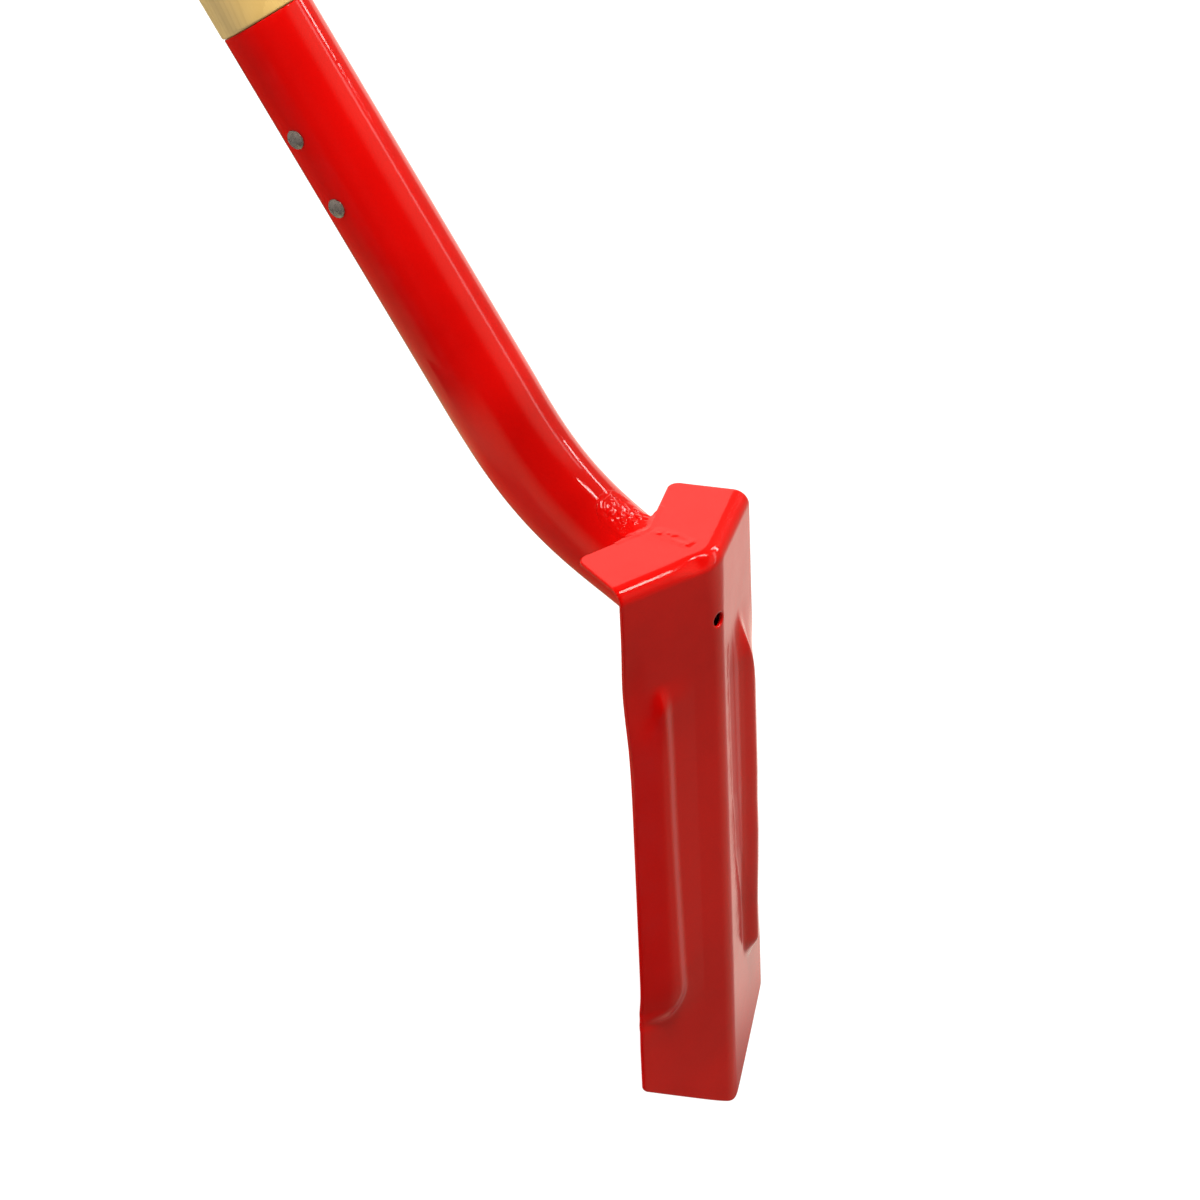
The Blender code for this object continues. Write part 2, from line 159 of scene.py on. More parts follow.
def thicken(points, faces, thickness, edge):
    """A closed sheet under an outside skin, with its edges rounded."""
    normal = normals_of(points, faces)
    out = [points, points - normal * thickness]
    count = len(points)
    all_faces = [tuple(f) for f in faces]
    all_faces += [tuple(i + count for i in reversed(f)) for f in faces]
    total = 2 * count
    for ring in loops_of(faces):
        ring = np.array(ring)
        p, n = points[ring], normal[ring]
        ahead = np.roll(p, -1, 0) - p
        ahead /= np.linalg.norm(ahead, axis=1)[:, None]
        behind = np.roll(ahead, 1, 0)
        b1, b2 = np.cross(behind, n), np.cross(ahead, n)
        b1 /= np.linalg.norm(b1, axis=1)[:, None]
        b2 /= np.linalg.norm(b2, axis=1)[:, None]
        b = b1 + b2
        size = np.linalg.norm(b, axis=1)
        b = b / size[:, None] / np.clip(size / 2, 0.6, 1.0)[:, None]
        rows = [ring]
        for turn, deep in ([(t, 0) for t in (30, 60, 90)]
                           + [(t, 1) for t in (90, 60, 30)]):
            s, c = math.sin(math.radians(turn)), math.cos(math.radians(turn))
            down = edge * (1 - c) if not deep else thickness - edge * (1 - c)
            out.append(p + b * edge * s - n * down)
            rows.append(np.arange(total, total + len(ring)))
            total += len(ring)
        rows.append(ring + count)
        m = len(ring)
        for upper, lower in zip(rows, rows[1:]):
            for i in range(m):
                j = (i + 1) % m
                all_faces.append((upper[j], upper[i], lower[i], lower[j]))
    return np.concatenate(out), all_faces


def skin(rings, close_ends=False, first=0):
    """Quads over rings of equal length; returns (points, faces)."""
    count = len(rings[0])
    pairs = [(i, i + 1) for i in range(len(rings) - 1)]
    if close_ends:
        pairs.append((len(rings) - 1, 0))
    faces = []
    for a, b in pairs:
        for i in range(count):
            j = (i + 1) % count
            faces.append((first + a * count + i, first + a * count + j,
                          first + b * count + j, first + b * count + i))
    return np.concatenate([np.asarray(r, float) for r in rings]), faces


def outward(points, faces):
    """Flips a closed mesh that is inside out."""
    volume = 0.0
    for f in faces:
        a = points[f[0]]
        for i in range(1, len(f) - 1):
            volume += np.dot(a, np.cross(points[f[i]], points[f[i + 1]]))
    return faces if volume > 0 else [tuple(reversed(f)) for f in faces]


def bore(obj, centre, axis, radius, depth):
    """Drills a round hole through an object already in the row frame."""
    rings = []
    helper = Vector(axis).to_track_quat("Z", "Y").to_matrix()
    for h in (-depth / 2, depth / 2):
        rings.append([np.array(centre) + np.array(helper @ Vector((
            radius * math.cos(2 * math.pi * i / 40),
            radius * math.sin(2 * math.pi * i / 40), h))) for i in range(40)])
    pts, faces = skin(rings)
    faces += [tuple(range(39, -1, -1)), tuple(range(40, 80))]
    faces = outward(pts, faces)
    mesh = bpy.data.meshes.new("drill")
    mesh.from_pydata([tuple(p) for p in pts], [], [tuple(int(i) for i in f) for f in faces])
    drill = bpy.data.objects.new("drill", mesh)
    bpy.context.scene.collection.objects.link(drill)
    mod = obj.modifiers.new("drill", "BOOLEAN")
    mod.operation, mod.solver, mod.object = "DIFFERENCE", "EXACT", drill
    graph = bpy.context.evaluated_depsgraph_get()
    cut = bpy.data.meshes.new_from_object(obj.evaluated_get(graph))
    obj.modifiers.clear()
    old, obj.data = obj.data, cut
    bpy.data.meshes.remove(old)
    bpy.data.objects.remove(drill, do_unlink=True)


# ------------------------------------------------------------------ materials
class Nodes:
    """Short way to write a node tree."""

    def __init__(self, mat):
        mat.use_nodes = True
        self.tree = mat.node_tree
        self.shader = self.tree.nodes["Principled BSDF"]

    def add(self, kind, **settings):
        node = self.tree.nodes.new(kind)
        for key, value in settings.items():
            setattr(node, key, value)
        return node

    def link(self, a, b):
        self.tree.links.new(a, b)

    def put(self, socket, value):
        if hasattr(value, "is_linked") or hasattr(value, "links"):
            self.link(value, socket)
        else:
            socket.default_value = value

    def coords(self, scale=(1, 1, 1), turn=(0, 0, 0)):
        source = self.add("ShaderNodeTexCoord")
        mapping = self.add("ShaderNodeMapping")
        mapping.inputs["Scale"].default_value = scale
        mapping.inputs["Rotation"].default_value = turn
        self.link(source.outputs["Object"], mapping.inputs["Vector"])
        return mapping.outputs["Vector"]

    def noise(self, vector, scale, detail=2.0, roughness=0.5, distortion=0.0):
        node = self.add("ShaderNodeTexNoise")
        self.link(vector, node.inputs["Vector"])
        node.inputs["Scale"].default_value = scale
        node.inputs["Detail"].default_value = detail
        node.inputs["Roughness"].default_value = roughness
        node.inputs["Distortion"].default_value = distortion
        return node.outputs["Fac"]

    def voronoi(self, vector, scale, feature="F1"):
        node = self.add("ShaderNodeTexVoronoi", feature=feature)
        self.link(vector, node.inputs["Vector"])
        node.inputs["Scale"].default_value = scale
        return node

    def span(self, value, low, high, to_low=0.0, to_high=1.0, kind="SMOOTHSTEP"):
        node = self.add("ShaderNodeMapRange", interpolation_type=kind)
        self.put(node.inputs["Value"], value)
        node.inputs["From Min"].default_value = low
        node.inputs["From Max"].default_value = high
        node.inputs["To Min"].default_value = to_low
        node.inputs["To Max"].default_value = to_high
        return node.outputs["Result"]

    def math(self, kind, a, b=0.0, c=0.0):
        node = self.add("ShaderNodeMath", operation=kind)
        for socket, value in zip(node.inputs, (a, b, c)):
            self.put(socket, value)
        return node.outputs[0]

    def mix(self, factor, a, b, blend="MIX"):
        node = self.add("ShaderNodeMix", data_type="RGBA", blend_type=blend)
        self.put(node.inputs["Factor"], factor)
        for socket, value in ((node.inputs["A"], a), (node.inputs["B"], b)):
            if isinstance(value, tuple):
                value = (*value, 1.0)
            self.put(socket, value)
        return node.outputs["Result"]

    def ramp(self, value, stops):
        node = self.add("ShaderNodeValToRGB")
        self.link(value, node.inputs["Fac"])
        ramp = node.color_ramp
        while len(ramp.elements) > 1:
            ramp.elements.remove(ramp.elements[-1])
        ramp.elements[0].position = stops[0][0]
        ramp.elements[0].color = (*stops[0][1], 1.0)
        for where, colour in stops[1:]:
            ramp.elements.new(where).color = (*colour, 1.0)
        return node.outputs["Color"]

    def bump(self, height, strength, distance, before=None):
        node = self.add("ShaderNodeBump")
        self.link(height, node.inputs["Height"])
        node.inputs["Strength"].default_value = strength
        node.inputs["Distance"].default_value = distance
        if before is not None:
            self.link(before, node.inputs["Normal"])
        return node.outputs["Normal"]

    def attribute(self, name):
        node = self.add("ShaderNodeAttribute", attribute_name=name)
        return node.outputs["Fac"]


def enamel(name, base=(0.66, 0.0024, 0.0018), gloss=0.11, peel=0.05, nibs=1.0):
    """Glossy red enamel over steel: slight sag and orange peel, dust nibs."""
    mat = bpy.data.materials.new(name)
    n = Nodes(mat)
    place = n.coords()
    broad = n.noise(place, 11.0, 3.0, 0.55)
    middle = n.noise(place, 70.0, 3.0, 0.6)
    fine = n.noise(place, 900.0, 2.0, 0.6)
    dark = tuple(c * 0.86 for c in base)
    lit = (base[0] * 1.05, base[1] * 1.15, base[2] * 1.1)
    colour = n.mix(n.span(broad, 0.34, 0.66), dark, lit)
    colour = n.mix(n.span(middle, 0.35, 0.7, 0.0, 0.35), colour, base)
    colour = n.mix(n.span(fine, 0.3, 0.75, 0.0, 0.10), colour,
                   (base[0] * 0.55, base[1], base[2]))
    worn = n.attribute("worn")
    scuff = n.math("MULTIPLY", worn, n.span(n.noise(place, 380.0, 4.0, 0.7),
                                            0.52, 0.64))
    colour = n.mix(scuff, colour, (0.36, 0.05, 0.035))
    n.link(colour, n.shader.inputs["Base Color"])
    rough_ = n.span(middle, 0.3, 0.75, gloss * 0.75, gloss * 1.35)
    rough_ = n.math("ADD", rough_, n.span(fine, 0.35, 0.8, 0.0, 0.035))
    rough_ = n.math("ADD", rough_, n.math("MULTIPLY", scuff, 0.25))
    n.link(rough_, n.shader.inputs["Roughness"])
    n.shader.inputs["IOR"].default_value = 1.5
    skin_ = n.bump(n.noise(place, 330.0, 1.5, 0.45), peel, 0.0008)
    skin_ = n.bump(n.noise(place, 62.0, 1.0, 0.4), peel * 0.7, 0.004, skin_)
    cells = n.voronoi(place, 62.0)
    pick = n.span(n.voronoi(place, 62.0).outputs["Color"], 0.86, 0.9)
    speck = n.span(cells.outputs["Distance"], 0.03, 0.085, 1.0, 0.0)
    speck = n.math("MULTIPLY", speck, pick)
    skin_ = n.bump(speck, 0.55 * nibs, 0.00025, skin_)
    n.link(skin_, n.shader.inputs["Normal"])
    return mat


def ash():
    """Pale ash: growth lines along the pole, pores, and end grain."""
    mat = bpy.data.materials.new("ash_wood")
    n = Nodes(mat)
    axis_turn = math.radians(3.111)
    base = n.add("ShaderNodeTexCoord").outputs["Object"]
    straight = n.add("ShaderNodeMapping")
    straight.inputs["Rotation"].default_value = (0.0, axis_turn, 0.0)
    straight.inputs["Location"].default_value = (0.0, 0.013, 0.060)
    n.link(base, straight.inputs["Vector"])
    along = n.add("ShaderNodeMapping")
    along.inputs["Scale"].default_value = (0.035, 1.0, 1.0)
    n.link(straight.outputs["Vector"], along.inputs["Vector"])
    warp = n.noise(along.outputs["Vector"], 26.0, 2.0, 0.5)
    parts = n.add("ShaderNodeSeparateXYZ")
    n.link(straight.outputs["Vector"], parts.inputs["Vector"])
    across = n.math("ADD", n.math("MULTIPLY", parts.outputs["Z"], 0.92),
                    n.math("MULTIPLY", parts.outputs["Y"], 0.39))
    radius = n.math("SQRT", n.math("ADD",
                    n.math("MULTIPLY", n.math("ADD", across, 0.07),
                           n.math("ADD", across, 0.07)),
                    n.math("MULTIPLY", parts.outputs["Y"],
                           n.math("MULTIPLY", parts.outputs["Y"], 0.55))))
    radius = n.math("ADD", radius, n.math("MULTIPLY", warp, 0.012))
    rings = n.math("FRACT", n.math("MULTIPLY", radius, 430.0))
    late = n.span(rings, 0.45, 0.95)
    early = n.span(rings, 0.0, 0.14, 1.0, 0.0)
    light, tan, pore = (0.70, 0.485, 0.175), (0.60, 0.39, 0.13), (0.44, 0.26, 0.09)
    colour = n.mix(n.math("MULTIPLY", late, 0.45), light, tan)
    streak = n.add("ShaderNodeMapping")
    streak.inputs["Scale"].default_value = (0.02, 1.0, 1.0)
    n.link(straight.outputs["Vector"], streak.inputs["Vector"])
    fibres = n.noise(streak.outputs["Vector"], 1500.0, 3.0, 0.6)
    pores = n.math("MULTIPLY", n.span(fibres, 0.56, 0.66), early)
    colour = n.mix(n.math("MULTIPLY", pores, 0.75), colour, pore)
    colour = n.mix(n.span(fibres, 0.3, 0.7, 0.0, 0.16), colour, tan)
    broad = n.noise(along.outputs["Vector"], 9.0, 3.0, 0.6)
    colour = n.mix(n.span(broad, 0.3, 0.75, 0.0, 0.3), colour,
                   (0.68, 0.47, 0.19))
    grime = n.span(n.attribute("handled"), 0.0, 1.0, 0.0, 0.22, "LINEAR")
    colour = n.mix(grime, colour, (0.42, 0.27, 0.12))
    n.link(colour, n.shader.inputs["Base Color"])
    n.link(n.span(fibres, 0.3, 0.7, 0.34, 0.52), n.shader.inputs["Roughness"])
    bump = n.bump(fibres, 0.16, 0.0004)
    bump = n.bump(n.math("MULTIPLY", early, -1.0), 0.10, 0.0003, bump)
    n.link(bump, n.shader.inputs["Normal"])
    return mat


def steel():
    """Grey rivet steel with faint hammer marks, and painted shade: the rim where the head meets
    the tube is darkened as a contact shadow.
    """
    mat = bpy.data.materials.new("rivet_steel")
    n = Nodes(mat)
    place = n.coords()
    cloud = n.noise(place, 420.0, 4.0, 0.65)
    fine = n.noise(place, 2600.0, 3.0, 0.7)
    colour = n.mix(n.span(cloud, 0.3, 0.7), (0.50, 0.43, 0.40), (0.64, 0.56, 0.54))
    colour = n.mix(n.span(fine, 0.5, 0.7, 0.0, 0.12), colour, (0.27, 0.25, 0.22))
    # painted shade: the rim at the foot of the head is darkened as a contact shadow against the
    # tube
    rim = n.attribute("rim")
    colour = n.mix(n.math("MULTIPLY", rim, 0.75), colour, (0.14, 0.085, 0.07))
    n.link(colour, n.shader.inputs["Base Color"])
    n.shader.inputs["Metallic"].default_value = 0.75
    n.link(n.span(cloud, 0.3, 0.7, 0.22, 0.32), n.shader.inputs["Roughness"])
    bump = n.bump(cloud, 0.05, 0.0004)
    bump = n.bump(fine, 0.03, 0.0001, bump)
    n.link(bump, n.shader.inputs["Normal"])
    return mat


ENAMEL = enamel("enamel_blade")
ENAMEL_TUBE = enamel("enamel_tube", gloss=0.085, peel=0.035)
ENAMEL_WELD = enamel("enamel_weld", base=(0.67, 0.0026, 0.0020), gloss=0.085,
                     peel=0.05, nibs=1.2)
ASH = ash()
STEEL = steel()


# ------------------------------------------------------------------ the blade
def section(offset, s, length, ridge=RIDGE_RADIUS):
    """Right half of the V pushed back by offset; s is the share of the way out."""
    radius = np.maximum(ridge - offset, 0.0)
    arc = radius * (math.pi / 2 - V_HALF)
    start = np.maximum(ridge, offset) * CA / SA
    way = s * (arc + length - start)
    turn = np.minimum(way, arc) / np.maximum(radius, 1e-9)
    along = start + way - arc
    x = np.where(way < arc, radius * np.sin(turn), along * SA - offset * CA)
    y = np.where(way < arc, ridge / SA - radius * np.cos(turn),
                 along * CA + offset * SA)
    return x, y


def inner_v(x, offset):
    x = np.abs(x)
    radius = RIDGE_RADIUS - offset
    return np.where(x < radius * CA,
                    RIDGE_RADIUS / SA - np.sqrt(np.maximum(radius ** 2 - x ** 2, 0)),
                    x * CA / SA + offset / SA)


SWELL_TOP, SWELL_BOTTOM = -50.0, -234.5
SWELL_CORNER = 13.0


def crest_fall(past, slope, soft):
    """How far the stiffener has fallen at a distance past its crest."""
    return slope * (np.sqrt(np.maximum(past, 0.0) ** 2 + soft ** 2) - soft)


def swell(u, z, side):
    """(height out of the face, pull towards the ridge) of the stiffener.

    The left one is low and ends bluntly at the top; the right one climbs in
    two stages and is drawn out."""
    left = side < 0
    # left: a narrow flank on a gentle rise
    middle = np.interp(z, (-219.0, -208.0, -185.0, -151.0, -118.0, -96.0, -66.0),
                       (27.2, 27.6, 28.2, 29.1, 29.7, 29.7, 30.2))
    du, dz = u - middle, z - SWELL_BOTTOM
    corner = (du < SWELL_CORNER) & (dz < SWELL_CORNER)
    inside = np.where(corner,
                      SWELL_CORNER - np.hypot(SWELL_CORNER - du,
                                              SWELL_CORNER - dz),
                      np.minimum(du, dz))
    blunt = smooth((SWELL_TOP - 3.5 - z) / (14.0 + 15.0 * smooth((u - 33.0) / 11.0)))
    gentle = 0.085 * (np.clip(u, 15.0, 36.0) - 15.0) * smooth(dz / 22.0 + 0.25)
    near = (gentle + 2.1 * smooth(inside / 6.8 + 0.5)
            - crest_fall(du - 5.0, 0.30, 4.0) * smooth(dz / 11.0 + 0.5)) * blunt
    near = near * (1.0 - 0.62 * smooth((u - 32.5) / 7.0) * np.exp(-((z + 63.0) / 17.0) ** 2))
    # right: a shoulder whose start moves outwards down the blade, then the flank
    first = np.interp(z, (-212.0, -185.0, -169.0, -152.0, -136.0, -71.0, -50.0),
                      (21.0, 15.7, 12.4, 12.0, 10.0, 9.2, 10.8))
    ramp = np.clip(u, first, 21.0) - np.minimum(first, 21.0)
    ramp = np.sqrt(ramp ** 2 + 0.8) - 0.894
    shoulder = 0.16 * ramp + 0.15 * smooth((u - first - 5.4) / 2.0 + 0.5) \
        * smooth((19.0 - first) / 4.0)
    lofty = np.interp(z, (-225.0, -200.0, -150.0), (4.7, 4.7, 4.3))
    turned = np.clip((SWELL_CORNER - (u - 18.0)) / SWELL_CORNER, 0.0, 0.95)
    foot = SWELL_BOTTOM + SWELL_CORNER * (1 - np.sqrt(1 - turned ** 2))
    drawn = smooth((-46.0 - z) / (24.0 + 26.0 * smooth((u - 26.0) / 9.0)))
    far = (shoulder + lofty * smooth((u - 24.3) / 11.0 + 0.5)
           - crest_fall(u - 29.6, 0.30, 3.0))
    far = far * smooth((z - foot) / 11.5 + 0.5) * drawn
    height = np.where(left, near, far)
    # the outer edge dips where the stiffener starts and is drawn in beside it
    outer = smooth((u - 38.0) / 12.0)
    start = np.where(left, -50.0, -85.0)
    height = height - 0.9 * outer * np.exp(-((z - start) / 16.0) ** 2)
    below = smooth((z + 252.0) / 40.0)
    pull = 1.1 * smooth((SWELL_TOP - z) / 60.0) * below * smooth((u - 24.0) / 22.0)
    return height, pull


def ridge_at(z):
    """The ridge gets softer towards the fold."""
    return RIDGE_RADIUS + 7.5 * smooth((z + 46.0) / 38.0)


def face_point(u, z, side):
    """A point on the outside of a face at arc position u from the ridge."""
    radius = ridge_at(z)
    arc = radius * (math.pi / 2 - V_HALF)
    turn = np.minimum(u, arc) / radius
    start = radius * CA / SA
    along = start + u - arc
    x = np.where(u < arc, radius * np.sin(turn), along * SA)
    y = np.where(u < arc, radius / SA - radius * np.cos(turn),
                 along * CA)
    return np.stack([side * x, y, z], -1)


def make_blade():
    edge = EDGE
    reach = RIDGE_RADIUS * (math.pi / 2 - V_HALF) + FACE_TOP - RIDGE_RADIUS * CA / SA
    marks = [np.linspace(0, 6.0, 10, endpoint=False),
             np.linspace(6.0, 36.0, 54, endpoint=False),
             np.linspace(36.0, reach, 14)]
    half = np.concatenate(marks) / reach
    share = np.concatenate([-half[:0:-1], half])
    side = np.where(share < 0, -1.0, 1.0)
    f = np.abs(share)
    height = RIDGE_LENGTH - FOLD_RADIUS
    top = -FOLD_RADIUS

    stations = [0.0]
    corner = TIP_CORNER - edge
    for k in range(1, 6):                      # close rows round the tip corner
        stations.append(corner * (1 - math.cos(math.pi / 2 * k / 5)))
    while stations[-1] < height:
        at = stations[-1]
        depth = -(height - at) + top           # z on the ridge
        step = 1.7
        if 55.0 < at < 100.0 or -105.0 < depth < -48.0:
            step = 1.2
        if -44.0 < depth < -25.0:
            step = 0.95
        stations.append(at + step)
    stations = np.array(stations[:-1])
    stations = stations[stations < height - 0.6]
    rows = [("face", s / height) for s in stations] + [("face", 1.0)]
    rows += [("fold", math.pi / 2 * k / 14) for k in range(1, 15)]
    depth = STEP_DEPTH - edge
    bend = STEP_CORNER - edge
    rows += [("step", d) for d in np.linspace(FOLD_RADIUS + 1.5, depth - bend, 16)]
    rows += [("step", depth - bend + bend * math.sin(math.pi / 2 * k / 10))
             for k in range(1, 11)]

    def low_top(top_, height_, value_):
        return top_ - height_ * (1.0 - value_)

    soft_ridge = float(ridge_at(top))
    grid = []
    for kind, value in rows:
        if kind == "face":
            up = value * height
            length = FACE_TIP + (FACE_TOP - FACE_TIP) * value - edge
            if up < corner:
                length -= corner - math.sqrt(corner ** 2 - (corner - up) ** 2)
            x, y = section(0.0, f, length,
                           float(ridge_at(low_top(top, height, value))))
            u = np.minimum(x / SA, length)
            soft = np.hypot(u, POINT_SOFTNESS)
            low = -RIDGE_LENGTH + CORNER_RAISE * (soft - POINT_SOFTNESS) / FACE_TIP
            lean = CORNER_RAISE / FACE_TIP * u / soft
            low = low + edge * np.sqrt(1 + lean ** 2)
            z = low + (top - low) * value
            h, pull = swell(u, z, side)
            x = x - pull * SA + h * CA
            y = y - pull * CA - h * SA
        elif kind == "fold":
            offset = FOLD_RADIUS * (1.0 - math.cos(value))
            x, y = section(offset, f, FACE_TOP - edge, soft_ridge)
            z = np.full_like(x, FOLD_RADIUS * (math.sin(value) - 1.0))
            # the inner part of the left fold was dressed down after welding
            press = np.where(x > 22.0, 0.0,
                             np.where(x > 14.0, 0.0075 * (22.0 - x) ** 2,
                                      0.48 + 0.12 * (14.0 - x)))
            press = press * np.where(side < 0, 1.0, 0.0) * math.sin(2 * value) ** 2 \
                * smooth(x / 10.0)
            y = y + press * 0.7
            z = z - press * 0.7
        else:
            past = max(0.0, value - (depth - bend))
            length = FACE_TOP - edge - (bend - math.sqrt(
                max(bend ** 2 - past ** 2, 0.0)))
            x, y = section(value, f, length, soft_ridge)
            z = np.zeros_like(x)
            # the right step reaches a little further back and is less wide
            along = (value - FOLD_RADIUS) / (depth - FOLD_RADIUS)
            far_out = np.where(side > 0, smooth((x - 4.0) / 12.0), 0.0)
            y = y + 1.0 * along * far_out
            x = x - 1.0 * along * np.where(side > 0, smooth((x - 15.0) / 30.0), 0.0)
        grid.append(np.stack([side * x, y, z], -1))
    grid = np.array(grid)
    nr, nc = grid.shape[:2]

    # ring of cells that leaves room for the hole
    mid = nc // 2
    ridge_z = grid[:, mid, 2]
    arc = np.array([i for i in range(nc) if abs(share[i] * reach) < 7.6])
    c0, c1 = arc[0], arc[-1]
    close = np.array([j for j in range(nr) if abs(ridge_z[j] + HOLE_DROP) < 7.6
                      and rows[j][0] == "face"])
    r0, r1 = close[0], close[-1]

    index = -np.ones((nr, nc), int)
    points = []
    for j in range(nr):
        for i in range(nc):
            if r0 < j < r1 and c0 < i < c1:
                continue
            index[j, i] = len(points)
            points.append(grid[j, i])
    faces = []
    for j in range(nr - 1):
        for i in range(nc - 1):
            if r0 <= j < r1 and c0 <= i < c1:
                continue
            faces.append((index[j, i], index[j, i + 1], index[j + 1, i + 1],
                          index[j + 1, i]))
    rim = ([(r0, i) for i in range(c0, c1)] + [(j, c1) for j in range(r0, r1)]
           + [(r1, i) for i in range(c1, c0, -1)]
           + [(j, c0) for j in range(r1, r0, -1)])
    flat = np.array([(share[i] * reach, grid[j, i, 2]) for j, i in rim])
    centre = np.array((0.0, -HOLE_DROP))
    angle = np.arctan2(flat[:, 1] - centre[1], flat[:, 0] - centre[0])
    inner = centre + (HOLE_RADIUS + edge) * np.stack(
        [np.cos(angle), np.sin(angle)], -1)
    previous = [index[j, i] for j, i in rim]
    steps = 6
    for k in range(1, steps + 1):
        w = k / steps
        where = flat * (1 - w) + inner * w
        ring = face_point(np.abs(where[:, 0]), where[:, 1],
                          np.where(where[:, 0] < 0, -1.0, 1.0))
        fresh = list(range(len(points), len(points) + len(ring)))
        points.extend(ring)
        m = len(ring)
        for a in range(m):
            b = (a + 1) % m
            faces.append((previous[a], previous[b], fresh[b], fresh[a]))
        previous = fresh
    points = np.array(points)
    if normals_of(points, faces)[index[nr - 1, mid]][2] < 0:
        faces = [tuple(reversed(face)) for face in faces]
    points, faces = thicken(points, faces, SHEET, edge)
    # wear: the cutting edge and its corners
    x, z = points[:, 0], points[:, 2]
    edge_z = -RIDGE_LENGTH + CORNER_RAISE * (
        np.hypot(np.abs(x) / SA, POINT_SOFTNESS) - POINT_SOFTNESS) / FACE_TIP
    worn = 0.75 * np.exp(-np.maximum(z - edge_z, 0.0) / 1.1)
    return make("blade_shell", points, faces, ENAMEL, ("blade",),
                attributes={"worn": worn})


# ------------------------------------------------------------------ the tube
def socket_point(t):
    return np.array((0.0, AXIS_Y + math.sin(SOCKET_ANGLE) * t,
                     math.cos(SOCKET_ANGLE) * t))


def bend_line(count):
    """(centre, angle, radius) down the bend, the neck's end last."""
    fine = 12
    step = BEND_LENGTH / (count * fine)
    point = socket_point(BEND_START)
    out = [(point.copy(), SOCKET_ANGLE, TUBE_OD / 2)]
    for i in range(count * fine):
        angle = SOCKET_ANGLE + (NECK_ANGLE - SOCKET_ANGLE) * float(
            smooth((i + 0.5) / (count * fine)))
        point = point - np.array((0.0, math.sin(angle), math.cos(angle))) * step
        if (i + 1) % fine == 0:
            done = (i + 1) / (count * fine)
            angle = SOCKET_ANGLE + (NECK_ANGLE - SOCKET_ANGLE) * float(smooth(done))
            out.append((point.copy(), angle,
                        (TUBE_OD + (NECK_OD - TUBE_OD) * done) / 2))
    return out


BEND = bend_line(48)
NECK_C, NECK_A, NECK_R = BEND[-1]


def around(angle, theta):
    up = np.array((0.0, -math.cos(angle), math.sin(angle)))
    theta = np.asarray(theta)
    return (np.sin(theta)[..., None] * np.array((1.0, 0.0, 0.0))
            + np.cos(theta)[..., None] * up)


def ring(centre, angle, radius, theta):
    return centre + around(angle, theta) * np.asarray(radius)[..., None]


def on_neck(theta, radius, back, offset):
    theta = np.atleast_1d(theta)
    start = NECK_C + around(NECK_A, theta) * np.broadcast_to(
        radius, theta.shape)[:, None]
    run = (start[:, 1] - inner_v(start[:, 0], offset)) / math.sin(NECK_A) - back
    way = np.array((0.0, math.sin(NECK_A), math.cos(NECK_A)))
    return start - way * run[:, None]


def make_tube():
    count = 112
    theta = 2 * math.pi * np.arange(count) / count
    lip = 0.55
    stations = []
    marks = list(np.arange(RIM - lip, BEND_START + 2.0, -3.0))
    for t in (RIVETS[0][2], RIVETS[1][2]):
        marks += list(np.arange(t - 6, t + 6.1, 1.0))
    marks = sorted(set(round(m, 2) for m in marks), reverse=True)
    kept = [marks[0]]
    for m in marks[1:]:
        if kept[-1] - m > 0.7:
            kept.append(m)
    stations = [(socket_point(t), SOCKET_ANGLE, TUBE_OD / 2) for t in kept]
    stations += BEND

    def wall(inset):
        return [ring(c, a, r - inset, theta) for c, a, r in stations]

    rings = []
    mouth = socket_point(RIM)
    along = np.array((0.0, math.sin(SOCKET_ANGLE), math.cos(SOCKET_ANGLE)))
    outer_r, inner_r = TUBE_OD / 2, TUBE_OD / 2 - TUBE_WALL
    for turn in (20, 45, 70, 90):               # inside of the lip, then its top
        s, c = math.sin(math.radians(turn)), math.cos(math.radians(turn))
        rings.append(ring(mouth - along * lip * (1 - s), SOCKET_ANGLE,
                          inner_r + lip * (1 - c), theta))
    for turn in (90, 70, 45, 20):
        s, c = math.sin(math.radians(turn)), math.cos(math.radians(turn))
        rings.append(ring(mouth - along * lip * (1 - s), SOCKET_ANGLE,
                          outer_r - lip * (1 - c), theta))
    rings += wall(0.0)
    offset = SHEET + 0.3
    rings.append(on_neck(theta, NECK_R, 4.0, offset))
    rings.append(on_neck(theta, NECK_R, 0.0, offset))
    rings.append(on_neck(theta, NECK_R - TUBE_WALL, 0.0, offset))
    rings.append(on_neck(theta, NECK_R - TUBE_WALL, 4.0, offset))
    rings += wall(TUBE_WALL)[::-1]
    points, faces = skin(rings, close_ends=True)
    faces = outward(points, faces)
    t = (points[:, 1] - AXIS_Y) * math.sin(SOCKET_ANGLE) + points[:, 2] * math.cos(SOCKET_ANGLE)
    worn = 0.5 * smooth((t - RIM + 0.8) / 0.8)
    obj = make("socket_shell", points, faces, ENAMEL_TUBE,
               ("socket_tube",), attributes={"worn": worn})
    return obj


